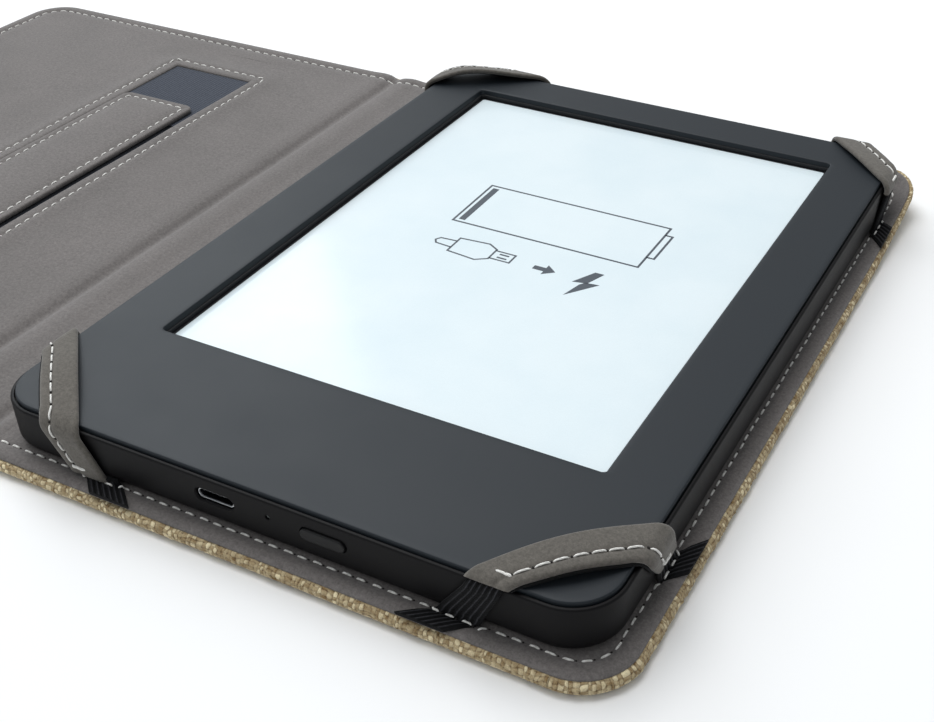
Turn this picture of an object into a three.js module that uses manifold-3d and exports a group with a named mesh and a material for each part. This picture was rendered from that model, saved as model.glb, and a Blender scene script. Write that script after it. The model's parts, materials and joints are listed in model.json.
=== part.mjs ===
// An e-reader strapped into an open folio cover, lying flat.
// Millimetres, +Z up. The origin is the centre of the back cover's underside, below the e-reader's middle.
// +Y points to the top of the e-reader's screen, and the cover opens towards -X.

import * as THREE from 'three';
import { mergeVertices } from 'three/addons/utils/BufferGeometryUtils.js';
import Module from 'manifold-3d';

const wasm = await Module();
wasm.setup();

// Driving dimensions of the folio cover.
const COVER_HALF_HEIGHT = 88.35;
const BACK_EDGE_X = 64.0;
const BACK_HINGE_X = -64.5;
const SPINE_PITCH = 17.7;
const COVER_CORNER_RADIUS = 11;
const HINGE_HALF_GAP = 2.0;
const BURLAP_THICKNESS = 1.0;
const BOARD_THICKNESS = 1.4;
const LINING_THICKNESS = 0.7;
const LAYER_GAP = 0.05;
const BOARD_INSET = 1.4;
const LINING_INSET = 1.0;
const TAPE_THICKNESS = 1.2;
const TAPE_CLEARANCE = 0.3;

const FRONT_HINGE_X = BACK_HINGE_X - SPINE_PITCH;
const FRONT_EDGE_X = FRONT_HINGE_X - (BACK_EDGE_X - BACK_HINGE_X);
const BOARD_BOTTOM = BURLAP_THICKNESS + LAYER_GAP;
const BOARD_TOP = BOARD_BOTTOM + BOARD_THICKNESS;
const LINING_BOTTOM = BOARD_TOP + LAYER_GAP;
const LINING_TOP = LINING_BOTTOM + LINING_THICKNESS;

// The hand strap and its window in the front cover's lining.
const WINDOW = { x0: -142.4, x1: -116.9, halfHeight: 65 };
const HAND_STRAP = { x0: -141.2, x1: -118.3, halfHeight: 43, thickness: 1.3, radius: 2.5 };
const STRAP_ELASTIC_TUCK = 10;

// Driving dimensions of the e-reader.
const READER_HALF_WIDTH = 59.5;
const READER_HALF_HEIGHT = 83.25;
const READER_Y = -0.75;
const READER_BOTTOM = LINING_TOP + LAYER_GAP;
const READER_TOP = 13.2;
const READER_CORNER_RADIUS = 9.5;
const HOUSING_RIM_TOP = 12.5;
const HOUSING_WALL = 1.6;
const HOUSING_FLOOR = 1.4;
const HOUSING_BASE_ROUND = 2.4;
const HOUSING_RIM_ROUND = 0.4;
const BEZEL_INSET = 0.95;
const BEZEL_SEAM = 0.25;
const BEZEL_THICKNESS = 1.5;
const BEZEL_EDGE = 0.25;
const BEZEL_SKIRT_WALL = 1.5;
const SCREEN = { halfWidth: 45.9, halfHeight: 61.8, y: 8.25, radius: 1.0, recess: 2.2 };
const PANEL = { halfWidth: 50.9, y0: -62, y1: 73, thickness: 1.0 };
const DISPLAY_TOP = READER_TOP - SCREEN.recess;
const SKIRT_BOTTOM = DISPLAY_TOP + 0.1;

// What sits in the bottom edge of the e-reader.
const USB = { x: -10.2, z: 8.8, width: 7.7, height: 2.4 };
const LIGHT = { x: 0.5, z: 9.2, radius: 0.45 };
const BUTTON = { x: 11.2, z: 8.9, width: 8.5, height: 2.3, clearance: 0.15 };
const BOTTOM_WALL_Y = READER_Y - READER_HALF_HEIGHT;

// What is inside it.
const MIDFRAME = { halfWidth: 55.8, y0: -68, y1: 79, bottom: 9.1, top: 9.9 };
const MAINBOARD = { halfWidth: 50, y0: -80.5, y1: -30, bottom: 6.6, top: 7.4 };
const FRAME_SCREW = { radius: 0.95, headRadius: 1.8, headHeight: 0.6, x: 54.2, ys: [-64.5, 4, 74.5] };
const BOARD_SCREW = { radius: 0.95, headRadius: 1.8, headHeight: 0.6, x: 46, y: -56 };
const BOSS_RADIUS = 2.1;
const SCREW_CLEARANCE = 0.12;

// Corner straps: how far from the corner the band's centreline meets the end edge and the side edge,
// how wide the band is, and how far it hangs past each edge.
const STRAPS = {
  br: { atEnd: 18.6, atSide: 18.6, width: 7.0, endDrop: 0.9, sideDrop: 5.2 },
  bl: { atEnd: 17.6, atSide: 18.6, width: 6.4, endDrop: 9.0, sideDrop: 4.6 },
  tr: { atEnd: 12.4, atSide: 13.4, width: 6.6, endDrop: 4.2, sideDrop: 4.6 },
  tl: { atEnd: 21.8, atSide: 13.6, width: 6.6, endDrop: 3.6, sideDrop: 4.2 },
};
const BAND_THICKNESS = 1.8;
const BAND_TAPER = 0.22;
const BAND_ARCH = 1.2;
const ELASTIC_WIDTH = { atBand: 5.8, atCover: 8.8 };
const ELASTIC_THICKNESS = 0.8;
const ELASTIC_JOIN_GAP = 0.3;
const ELASTIC_RUN = 12.0;
const ELASTIC_RUN_AT_SPINE = 10.3;
const STRAP_STANDOFF = 0.15;
const STRAP_BEND = 1.3;
const STRAP_LANDING = 2.0;
const STRAP_STEEPNESS = THREE.MathUtils.degToRad(86);
const STRAP_SLIP = 0.41;
const STRAP_SLIP_RUN = 9.5;

const group = new THREE.Group();

const material = (color, roughness, metalness = 0) =>
  new THREE.MeshStandardMaterial({ color, roughness, metalness });

const SUEDE = material(0x8a8683, 0.95);
const NAVY = material(0x4b5263, 0.9);
const BURLAP = material(0xc2aa7c, 0.95);
const BOARD = material(0x8d8577, 0.95);
const TAPE = material(0x6d675f, 0.95);
const ELASTIC = material(0x18181a, 0.85);
const SHELL = material(0x1d1d1f, 0.55);
const BEZEL = material(0x4a4f54, 0.6);
const PAPER = material(0xf0f7f8, 0.5);
const STEEL = material(0x9a9ca0, 0.35, 1);
const MAGNESIUM = material(0x85888c, 0.5, 1);
const CIRCUIT = material(0x1e4a35, 0.6);
const CHIP = material(0x17181a, 0.5);
const CELL = material(0x9da1a6, 0.4, 0.6);
const LEAD = material(0xa8742f, 0.6);
const DIFFUSER = material(0xe8ece8, 0.3);

function add(name, geometry, look) {
  const mesh = new THREE.Mesh(geometry, look);
  mesh.name = name;
  group.add(mesh);
  return mesh;
}

// Shapes and solids.

function roundedRect(x0, y0, x1, y1, radii) {
  const [lowerLeft, lowerRight, upperRight, upperLeft] = Array.isArray(radii) ? radii : Array(4).fill(radii);
  const quarter = Math.PI / 2;
  const outline = new THREE.Shape();
  const corner = (x, y, r, start) => {
    if (r > 0) {
      outline.absarc(x, y, r, start, start + quarter, false);
    } else {
      outline.lineTo(x, y);
    }
  };
  outline.moveTo(x0 + lowerLeft, y0);
  corner(x1 - lowerRight, y0 + lowerRight, lowerRight, -quarter);
  corner(x1 - upperRight, y1 - upperRight, upperRight, 0);
  corner(x0 + upperLeft, y1 - upperLeft, upperLeft, quarter);
  corner(x0 + lowerLeft, y0 + lowerLeft, lowerLeft, 2 * quarter);
  return outline;
}

function slab(outline, z0, z1, curveSegments = 4) {
  const geometry = new THREE.ExtrudeGeometry(outline, { depth: z1 - z0, bevelEnabled: false, curveSegments });
  return geometry.translate(0, 0, z0);
}

function edgedSlab(outline, z0, z1, edge, steps = 2, curveSegments = 4) {
  const geometry = new THREE.ExtrudeGeometry(outline, {
    depth: z1 - z0 - 2 * edge,
    bevelThickness: edge,
    bevelSize: edge,
    bevelOffset: -edge,
    bevelSegments: steps,
    curveSegments,
  });
  return geometry.translate(0, 0, z0 + edge);
}

function block(x0, x1, y0, y1, z0, z1) {
  const geometry = new THREE.BoxGeometry(x1 - x0, y1 - y0, z1 - z0);
  return geometry.translate((x0 + x1) / 2, (y0 + y1) / 2, (z0 + z1) / 2);
}

function post(x, y, z0, z1, radius, sides = 16) {
  const geometry = new THREE.CylinderGeometry(radius, radius, z1 - z0, sides);
  return geometry.rotateX(Math.PI / 2).translate(x, y, (z0 + z1) / 2);
}

function solidOf(geometry) {
  const bare = geometry.clone();
  bare.deleteAttribute('normal');
  bare.deleteAttribute('uv');
  const merged = mergeVertices(bare, 1e-4);
  return new wasm.Manifold(new wasm.Mesh({
    numProp: 3,
    vertProperties: new Float32Array(merged.attributes.position.array),
    triVerts: new Uint32Array(merged.index.array),
  }));
}

function geometryOf(solid) {
  const mesh = solid.getMesh();
  const geometry = new THREE.BufferGeometry();
  geometry.setAttribute('position', new THREE.BufferAttribute(mesh.vertProperties, 3));
  geometry.setIndex(new THREE.BufferAttribute(mesh.triVerts, 1));
  geometry.computeVertexNormals();
  return geometry;
}

const joined = (...geometries) => geometries.map(solidOf).reduce((whole, piece) => whole.add(piece));
const cut = (solid, ...geometries) => geometries.map(solidOf).reduce((left, tool) => left.subtract(tool), solid);

// A pill-shaped outline in the X-Z plane, pushed through from y0 to y1.
function pill(x, z, width, height, y0, y1) {
  const outline = roundedRect(-width / 2, -height / 2, width / 2, height / 2, height / 2 - 0.02);
  const geometry = slab(outline, 0, y1 - y0, 3);
  return geometry.rotateX(Math.PI / 2).translate(x, y1, z);
}

function extrudedAlongX(points, x0, x1) {
  const outline = new THREE.Shape(points.map(([y, z]) => new THREE.Vector2(y, z)));
  const geometry = slab(outline, 0, x1 - x0);
  // Shape axes (y, z) become row axes Y and Z, and the depth runs along X.
  const toRow = new THREE.Matrix4().makeBasis(
    new THREE.Vector3(0, 1, 0),
    new THREE.Vector3(0, 0, 1),
    new THREE.Vector3(1, 0, 0),
  );
  return geometry.applyMatrix4(toRow).translate(x0, 0, 0);
}

// The folio cover: a burlap outside, a board in each panel, and a suede lining.

const PANELS = {
  back: { x0: BACK_HINGE_X + HINGE_HALF_GAP, x1: BACK_EDGE_X, free: 1 },
  spine: { x0: FRONT_HINGE_X + HINGE_HALF_GAP, x1: BACK_HINGE_X - HINGE_HALF_GAP, free: 0 },
  front: { x0: FRONT_EDGE_X, x1: FRONT_HINGE_X - HINGE_HALF_GAP, free: -1 },
};

// A panel's outline, moved in from its outer edges, and past its hinge edges by reach.
function panelOutline({ x0, x1, free }, inset, reach = 0) {
  const r = COVER_CORNER_RADIUS - inset;
  const radii = [free < 0 ? r : 0, free > 0 ? r : 0, free > 0 ? r : 0, free < 0 ? r : 0];
  const low = free < 0 ? x0 + inset : x0 - reach;
  const high = free > 0 ? x1 - inset : x1 + reach;
  return roundedRect(low, -COVER_HALF_HEIGHT + inset, high, COVER_HALF_HEIGHT - inset, radii);
}

function addPanel(prefix, panel, window) {
  const wrapped = solidOf(slab(panelOutline(panel, 0), 0, BOARD_TOP));
  const boardBed = slab(panelOutline(panel, BOARD_INSET - LAYER_GAP, 1), BURLAP_THICKNESS, BOARD_TOP + 1);
  add(`${prefix}_burlap`, geometryOf(cut(wrapped, boardBed)), BURLAP);
  add(`${prefix}_board`, slab(panelOutline(panel, BOARD_INSET), BOARD_BOTTOM, BOARD_TOP), BOARD);
  const lining = panelOutline(panel, LINING_INSET);
  if (window) {
    lining.holes.push(roundedRect(window.x0, -window.halfHeight, window.x1, window.halfHeight, 0));
  }
  add(`${prefix}_lining`, slab(lining, LINING_BOTTOM, LINING_TOP), SUEDE);
}

// The flexible strip that joins two panels at a fold.
function addHingeTape(name, hingeX) {
  const half = HINGE_HALF_GAP - TAPE_CLEARANCE;
  const end = COVER_HALF_HEIGHT - LINING_INSET;
  const z0 = (LINING_TOP - TAPE_THICKNESS) / 2;
  add(name, block(hingeX - half, hingeX + half, -end, end, z0, z0 + TAPE_THICKNESS), TAPE);
}

function addHandStrap() {
  const clearance = 0.2;
  const backingTop = LINING_BOTTOM + 0.2;
  const elasticTop = backingTop + LAYER_GAP + 0.5;
  const x0 = WINDOW.x0 + clearance;
  const x1 = WINDOW.x1 - clearance;
  const end = WINDOW.halfHeight - clearance;
  const tucked = HAND_STRAP.halfHeight - STRAP_ELASTIC_TUCK;
  const strap = roundedRect(HAND_STRAP.x0, -HAND_STRAP.halfHeight, HAND_STRAP.x1, HAND_STRAP.halfHeight,
    HAND_STRAP.radius);
  add('window_backing', block(x0, x1, -end, end, LINING_BOTTOM, backingTop), NAVY);
  add('strap_elastic_top', block(x0, x1, tucked, end, backingTop + LAYER_GAP, elasticTop), NAVY);
  add('strap_elastic_bottom', block(x0, x1, -end, -tucked, backingTop + LAYER_GAP, elasticTop), NAVY);
  add('hand_strap', slab(strap, elasticTop + LAYER_GAP, elasticTop + LAYER_GAP + HAND_STRAP.thickness), SUEDE);
}

// The e-reader.

const readerOutline = (inset) => roundedRect(
  -READER_HALF_WIDTH + inset,
  READER_Y - READER_HALF_HEIGHT + inset,
  READER_HALF_WIDTH - inset,
  READER_Y + READER_HALF_HEIGHT - inset,
  READER_CORNER_RADIUS - inset,
);

const screenOutline = (outset) => roundedRect(
  -SCREEN.halfWidth - outset,
  SCREEN.y - SCREEN.halfHeight - outset,
  SCREEN.halfWidth + outset,
  SCREEN.y + SCREEN.halfHeight + outset,
  SCREEN.radius + outset,
);

const frameScrewPlaces = FRAME_SCREW.ys.flatMap((y) => [[-FRAME_SCREW.x, y], [FRAME_SCREW.x, y]]);
const boardScrewPlaces = [[-BOARD_SCREW.x, BOARD_SCREW.y], [BOARD_SCREW.x, BOARD_SCREW.y]];

function rearHousing() {
  const floorTop = READER_BOTTOM + HOUSING_FLOOR;
  const sink = 0.5;
  const roundBase = edgedSlab(readerOutline(0), READER_BOTTOM, READER_TOP + 5, HOUSING_BASE_ROUND, 3);
  const roundRim = edgedSlab(readerOutline(0), READER_BOTTOM - 5, HOUSING_RIM_TOP, HOUSING_RIM_ROUND, 1);
  const outside = solidOf(roundBase).intersect(solidOf(roundRim));
  const cavity = slab(readerOutline(HOUSING_WALL), floorTop, READER_TOP + 1);
  const bezelBed = slab(readerOutline(BEZEL_INSET - BEZEL_SEAM),
    READER_TOP - BEZEL_THICKNESS - LAYER_GAP, READER_TOP + 1);
  const wall = [BOTTOM_WALL_Y - 1, BOTTOM_WALL_Y + HOUSING_WALL + 1];
  const usbMouth = pill(USB.x, USB.z, USB.width, USB.height, ...wall);
  const slot = BUTTON.clearance * 2;
  const buttonSlot = pill(BUTTON.x, BUTTON.z, BUTTON.width + slot, BUTTON.height + slot, ...wall);
  const pinhole = post(LIGHT.x, 0, 0, wall[1] - wall[0], LIGHT.radius + 0.1, 12)
    .rotateX(-Math.PI / 2).translate(0, wall[0], LIGHT.z);
  let housing = cut(outside, cavity, bezelBed, usbMouth, buttonSlot, pinhole);
  const boss = (x, y, top, shank) => cut(
    solidOf(post(x, y, floorTop - sink, top, BOSS_RADIUS)),
    post(x, y, floorTop + 0.2, top + 1, shank + SCREW_CLEARANCE, 12),
  );
  for (const [x, y] of frameScrewPlaces) {
    housing = housing.add(boss(x, y, MIDFRAME.bottom - LAYER_GAP, FRAME_SCREW.radius));
  }
  for (const [x, y] of boardScrewPlaces) {
    housing = housing.add(boss(x, y, MAINBOARD.bottom - LAYER_GAP, BOARD_SCREW.radius));
  }
  return geometryOf(housing);
}

function frontBezel() {
  const face = readerOutline(BEZEL_INSET);
  face.holes.push(screenOutline(0));
  const plate = edgedSlab(face, READER_TOP - BEZEL_THICKNESS, READER_TOP, BEZEL_EDGE, 1);
  const skirt = screenOutline(BEZEL_SKIRT_WALL);
  skirt.holes.push(screenOutline(BEZEL_EDGE));
  return geometryOf(joined(plate, slab(skirt, SKIRT_BOTTOM, READER_TOP - BEZEL_THICKNESS / 2)));
}

function drilledPlate(outline, z0, z1, places, radius) {
  const holes = places.map(([x, y]) => post(x, y, z0 - 1, z1 + 1, radius + SCREW_CLEARANCE, 12));
  return geometryOf(cut(solidOf(slab(outline, z0, z1)), ...holes));
}

function screw(x, y, seat, size, tip) {
  const profile = [
    [0, tip],
    [size.radius * 0.7, tip],
    [size.radius, tip + 0.4],
    [size.radius, seat],
    [size.headRadius, seat],
    [size.headRadius, seat + size.headHeight * 0.6],
    [size.headRadius * 0.7, seat + size.headHeight],
    [size.radius * 0.5, seat + size.headHeight],
    [size.radius * 0.5, seat + size.headHeight * 0.5],
    [0, seat + size.headHeight * 0.5],
  ].map(([r, z]) => new THREE.Vector2(r, z));
  return new THREE.LatheGeometry(profile, 12).rotateX(Math.PI / 2).translate(x, y, 0);
}

function addScrews(prefix, places, seat, size) {
  const tip = READER_BOTTOM + HOUSING_FLOOR + 0.5;
  places.forEach(([x, y], i) => add(`${prefix}_${i + 1}`, screw(x, y, seat, size, tip), STEEL));
}

function addScreenStack() {
  const panelBottom = DISPLAY_TOP - PANEL.thickness;
  add('epaper_panel', block(-PANEL.halfWidth, PANEL.halfWidth, PANEL.y0, PANEL.y1, panelBottom, DISPLAY_TOP), PAPER);
  const touch = screenOutline(5.5);
  touch.holes.push(screenOutline(BEZEL_SKIRT_WALL + 0.3));
  const touchTop = READER_TOP - BEZEL_THICKNESS - LAYER_GAP;
  add('touch_sensor_frame', slab(touch, DISPLAY_TOP + LAYER_GAP, touchTop), CIRCUIT);
  const frame = roundedRect(-MIDFRAME.halfWidth, MIDFRAME.y0, MIDFRAME.halfWidth, MIDFRAME.y1, 6);
  const places = frameScrewPlaces;
  add('midframe', drilledPlate(frame, MIDFRAME.bottom, MIDFRAME.top, places, FRAME_SCREW.radius), MAGNESIUM);
  addScrews('frame_screw', places, MIDFRAME.top + LAYER_GAP, FRAME_SCREW);
}

function addElectronics() {
  const { halfWidth, y0, y1, bottom, top } = MAINBOARD;
  const onBoard = top + LAYER_GAP;
  const board = roundedRect(-halfWidth, y0, halfWidth, y1, 3);
  add('mainboard', drilledPlate(board, bottom, top, boardScrewPlaces, BOARD_SCREW.radius), CIRCUIT);
  addScrews('board_screw', boardScrewPlaces, onBoard, BOARD_SCREW);
  const floorTop = READER_BOTTOM + HOUSING_FLOOR;
  add('battery_pack', slab(roundedRect(-36, -24, 30, 66, 2), floorTop + 0.2, 8.4), CELL);
  add('battery_connector', block(-6, 2, -36, -32.4, onBoard, onBoard + 1.2), CHIP);
  add('battery_lead', block(-5, 1, -32, -24.4, onBoard + 0.2, onBoard + 0.9), LEAD);
  add('display_connector', block(10, 30, -72, -68.6, onBoard, onBoard + 1), CHIP);
  const ribbon = [[-67.2, 7.9], [-67.8, 7.9], [-68.6, 8.6], [-68.6, 10.3], [-68.2, 10.7], [-62.4, 10.7],
    [-62.4, 10.4], [-68, 10.4], [-68.3, 10.2], [-68.3, 8.7], [-67.6, 8.2], [-67.2, 8.2]];
  add('display_ribbon', extrudedAlongX(ribbon, 11, 29), LEAD);
  add('processor_shield', slab(roundedRect(-34, -58, -10, -38, 1), onBoard, onBoard + 1.4), STEEL);
  add('wireless_module', block(24, 38, -50, -38, onBoard, onBoard + 1.2), STEEL);
  add('wireless_antenna', block(-52, -46, 10, 46, 6.2, 7.0), CIRCUIT);
}

function addBottomEdge() {
  const onBoard = MAINBOARD.top + LAYER_GAP;
  const mouth = BOTTOM_WALL_Y + 0.5;
  const depth = 5.2;
  const wide = USB.width - 0.3;
  const tall = USB.height - 0.3;
  const skin = 0.3;
  const shell = solidOf(pill(USB.x, USB.z, wide, tall, mouth, mouth + depth));
  const bore = pill(USB.x, USB.z, wide - 2 * skin, tall - 2 * skin, mouth - 1, mouth + depth - skin);
  add('usb_shell', geometryOf(cut(shell, bore)), STEEL);
  const tongue = block(USB.x - 1.8, USB.x + 1.8, mouth + 1, mouth + depth - 0.4, USB.z - 0.1, USB.z + 0.4);
  add('usb_tongue', tongue, CHIP);

  const proud = 0.45;
  const flangeY = BOTTOM_WALL_Y + HOUSING_WALL + 0.1;
  const cap = pill(BUTTON.x, BUTTON.z, BUTTON.width, BUTTON.height, BOTTOM_WALL_Y - proud, flangeY + 0.4);
  const flange = pill(BUTTON.x, BUTTON.z, BUTTON.width + 2, 2.7, flangeY, flangeY + 0.7);
  add('power_button', geometryOf(joined(cap, flange)), SHELL);
  const switchY = flangeY + 0.7 + 0.7;
  add('power_switch', block(BUTTON.x - 3, BUTTON.x + 3, switchY, switchY + 3.4, onBoard, onBoard + 2), CHIP);

  const pipeLength = 3.6;
  const pipe = post(LIGHT.x, 0, 0, pipeLength, LIGHT.radius, 12)
    .rotateX(-Math.PI / 2).translate(0, BOTTOM_WALL_Y + 0.4, LIGHT.z);
  add('light_pipe', pipe, DIFFUSER);
  const ledY = BOTTOM_WALL_Y + 0.4 + pipeLength + 0.1;
  add('status_led', block(LIGHT.x - 0.8, LIGHT.x + 0.8, ledY, ledY + 1, onBoard, LIGHT.z + 0.5), DIFFUSER);
}

// Corner straps. Each crosses the corner of the face, folds down the wall and runs out over the lining.

// How far out and how far down the strap is, and how it faces, at a run of s past the e-reader's edge.
// It bends over the edge, hangs, and, where it has a landing, bends out flat over the lining.
function overEdge(s, landing) {
  const drop = READER_TOP - LINING_TOP;
  const bent = (STRAP_BEND + landing) * (1 - Math.cos(STRAP_STEEPNESS)) / STRAP_STEEPNESS;
  const hang = (drop - bent) / Math.sin(STRAP_STEEPNESS);
  const stretches = [
    { length: STRAP_BEND, from: 0, to: STRAP_STEEPNESS },
    { length: hang, from: STRAP_STEEPNESS, to: STRAP_STEEPNESS },
    { length: landing, from: STRAP_STEEPNESS, to: 0 },
    { length: 100, from: 0, to: 0 },
  ];
  const steps = 8;
  let [out, down, angle] = [0, 0, 0];
  let left = s;
  for (const { length, from, to } of stretches) {
    const run = Math.min(left, length);
    if (run <= 0) {
      continue;
    }
    for (let i = 0; i < steps; i += 1) {
      const middle = from + (to - from) * (i + 0.5) / steps * run / length;
      out += Math.cos(middle) * run / steps;
      down += Math.sin(middle) * run / steps;
    }
    angle = from + (to - from) * run / length;
    left -= run;
  }
  return { out, down, angle };
}

// On the wall a strap runs steeper than it does on the face: how far this takes it back towards the corner.
function slip(s) {
  return STRAP_SLIP * THREE.MathUtils.clamp(s, 0, STRAP_SLIP_RUN) - STRAP_SLIP * Math.max(s - STRAP_SLIP_RUN, 0);
}

// A point of a strap: inward distances from the side edge and from the top or bottom edge.
function strapPoint(corner, fromSide, fromEnd, arch, lift) {
  const a = fromSide - slip(-fromEnd);
  const b = fromEnd - slip(-fromSide);
  const side = overEdge(-a, corner.x > 0 ? STRAP_LANDING : 0);
  const end = overEdge(-b, STRAP_LANDING);
  const slope = side.angle + end.angle;
  const outX = side.out - Math.max(a, 0) + Math.sin(side.angle) * lift;
  const outY = end.out - Math.max(b, 0) + Math.sin(end.angle) * lift;
  const onFace = a > 0 && b > 0;
  const rise = onFace ? arch * Math.sin(Math.PI * a / (a + b)) ** 2 : 0;
  return new THREE.Vector3(
    corner.x * (READER_HALF_WIDTH + outX),
    READER_Y + corner.y * (READER_HALF_HEIGHT + outY),
    READER_TOP + STRAP_STANDOFF + rise - side.down - end.down + Math.cos(slope) * lift,
  );
}

// A closed strip from a grid of points: rows along it, columns across it, with a top and a bottom skin.
function strip(rows, columns, pointAt, flip) {
  const positions = [];
  const at = (i, j, skin) => (i * (columns + 1) + j) * 2 + skin;
  for (let i = 0; i <= rows; i += 1) {
    for (let j = 0; j <= columns; j += 1) {
      positions.push(...pointAt(i / rows, j / columns, 0).toArray());
      positions.push(...pointAt(i / rows, j / columns, 1).toArray());
    }
  }
  const index = [];
  const quad = (p, q, r, s) => index.push(...(flip ? [p, r, q, p, s, r] : [p, q, r, p, r, s]));
  for (let i = 0; i < rows; i += 1) {
    for (let j = 0; j < columns; j += 1) {
      quad(at(i, j, 1), at(i + 1, j, 1), at(i + 1, j + 1, 1), at(i, j + 1, 1));
      quad(at(i, j, 0), at(i, j + 1, 0), at(i + 1, j + 1, 0), at(i + 1, j, 0));
    }
    quad(at(i, 0, 0), at(i + 1, 0, 0), at(i + 1, 0, 1), at(i, 0, 1));
    quad(at(i, columns, 0), at(i, columns, 1), at(i + 1, columns, 1), at(i + 1, columns, 0));
  }
  for (let j = 0; j < columns; j += 1) {
    quad(at(0, j, 0), at(0, j, 1), at(0, j + 1, 1), at(0, j + 1, 0));
    quad(at(rows, j, 0), at(rows, j + 1, 0), at(rows, j + 1, 1), at(rows, j, 1));
  }
  const geometry = new THREE.BufferGeometry();
  geometry.setAttribute('position', new THREE.Float32BufferAttribute(positions, 3));
  geometry.setIndex(index);
  geometry.computeVertexNormals();
  return geometry;
}

function addCornerStrap(key, corner) {
  const { atEnd, atSide, width, endDrop, sideDrop } = STRAPS[key];
  const length = Math.hypot(atEnd, atSide);
  const flip = corner.x * corner.y < 0;

  // The band's ends are cut parallel to the edges of the face.
  const band = (u, v, skin) => {
    const across = (v - 0.5) * width * (1 - BAND_TAPER * (2 * u - 1) ** 2);
    const towardsEnd = (atSide / 2 + across * atEnd / length + endDrop) * length / atSide;
    const towardsSide = (atEnd / 2 + across * atSide / length + sideDrop) * length / atEnd;
    const along = (towardsEnd + towardsSide) * u - towardsSide;
    const fromSide = atEnd / 2 + (along * atEnd + across * atSide) / length;
    const fromEnd = atSide / 2 + (across * atEnd - along * atSide) / length;
    return strapPoint(corner, fromSide, fromEnd, BAND_ARCH, skin * BAND_THICKNESS);
  };
  add(`corner_band_${key}`, strip(28, 4, band, flip), SUEDE);

  const lift = (BAND_THICKNESS - ELASTIC_THICKNESS) / 2;
  const endName = corner.y > 0 ? 'top' : 'bottom';
  const sideRun = corner.x < 0 ? ELASTIC_RUN_AT_SPINE : ELASTIC_RUN;
  const addElastic = (name, near, far, drop, run, place, turned) => {
    const from = drop + ELASTIC_JOIN_GAP;
    const elastic = (u, v, skin) => {
      const past = from + (run - from) * u;
      const wide = ELASTIC_WIDTH.atBand + (ELASTIC_WIDTH.atCover - ELASTIC_WIDTH.atBand) * u;
      const aside = near + past * near / far + (v - 0.5) * wide;
      return strapPoint(corner, ...place(aside, -past), 0, lift + skin * ELASTIC_THICKNESS);
    };
    add(`strap_elastic_${key}_${name}`, strip(12, 3, elastic, turned), ELASTIC);
  };
  addElastic(endName, atEnd, atSide, endDrop, ELASTIC_RUN, (aside, past) => [aside, past], flip);
  addElastic('side', atSide, atEnd, sideDrop, sideRun, (aside, past) => [past, aside], !flip);
}

// Assembly.

addPanel('back', PANELS.back);
addPanel('spine', PANELS.spine);
addPanel('front', PANELS.front, WINDOW);
addHingeTape('hinge_tape_back', BACK_HINGE_X);
addHingeTape('hinge_tape_front', FRONT_HINGE_X);
addHandStrap();

add('rear_housing', rearHousing(), SHELL);
add('front_bezel', frontBezel(), BEZEL);
addScreenStack();
addElectronics();
addBottomEdge();

addCornerStrap('br', { x: 1, y: -1 });
addCornerStrap('bl', { x: -1, y: -1 });
addCornerStrap('tr', { x: 1, y: 1 });
addCornerStrap('tl', { x: -1, y: 1 });

export default group;
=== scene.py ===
"""An e-reader in an opened fabric folio cover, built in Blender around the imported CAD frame.

Lengths are in millimetres, and each mesh is scaled to metres when it is made.
The stage and the camera are in metres.
"""

import json
import math
from fnmatch import fnmatch

import bmesh
import bpy
import numpy as np
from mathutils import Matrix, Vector


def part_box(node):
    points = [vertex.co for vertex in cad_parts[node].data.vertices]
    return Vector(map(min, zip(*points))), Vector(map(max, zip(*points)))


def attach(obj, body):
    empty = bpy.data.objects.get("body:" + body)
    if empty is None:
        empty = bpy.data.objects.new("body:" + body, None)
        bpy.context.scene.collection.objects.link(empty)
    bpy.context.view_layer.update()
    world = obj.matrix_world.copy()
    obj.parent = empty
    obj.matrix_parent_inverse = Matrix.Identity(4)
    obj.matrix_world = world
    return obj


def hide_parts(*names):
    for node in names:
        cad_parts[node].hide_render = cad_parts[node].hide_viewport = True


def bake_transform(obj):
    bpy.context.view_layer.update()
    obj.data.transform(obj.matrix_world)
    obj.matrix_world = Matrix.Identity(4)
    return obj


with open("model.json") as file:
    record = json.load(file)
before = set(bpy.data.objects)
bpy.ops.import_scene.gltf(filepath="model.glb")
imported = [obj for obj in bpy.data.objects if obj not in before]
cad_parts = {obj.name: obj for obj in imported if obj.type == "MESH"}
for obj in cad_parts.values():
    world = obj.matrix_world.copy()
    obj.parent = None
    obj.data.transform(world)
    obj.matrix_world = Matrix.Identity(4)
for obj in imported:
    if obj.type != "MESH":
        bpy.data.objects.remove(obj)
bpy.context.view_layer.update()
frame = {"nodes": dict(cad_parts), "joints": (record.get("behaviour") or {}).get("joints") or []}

MM = 0.001
rng = np.random.default_rng(7)


def cad_box(node):
    """The lowest and highest corner of a CAD node, in millimetres."""
    low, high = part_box(node)
    return np.array(low) / MM, np.array(high) / MM


# Places from the frame.

joints = {joint["name"]: joint for joint in frame["joints"]}
BACK_HINGE = joints["spine_fold"]["pos_m"][0] / MM
FRONT_HINGE = joints["cover_fold"]["pos_m"][0] / MM
SPINE_MIDDLE = (BACK_HINGE + FRONT_HINGE) / 2

COVER_LOW = cad_box("front_burlap")[0]
COVER_HIGH = cad_box("back_burlap")[1]
COVER_RADIUS = 11.0
RIM_TOP = COVER_HIGH[2]
LINING_BOTTOM = cad_box("back_lining")[0][2]
LINING_TOP = cad_box("back_lining")[1][2]
LINING_INSET = 1.0
BURLAP_THICKNESS = 1.0
BURLAP_WRAP = 1.35

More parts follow.
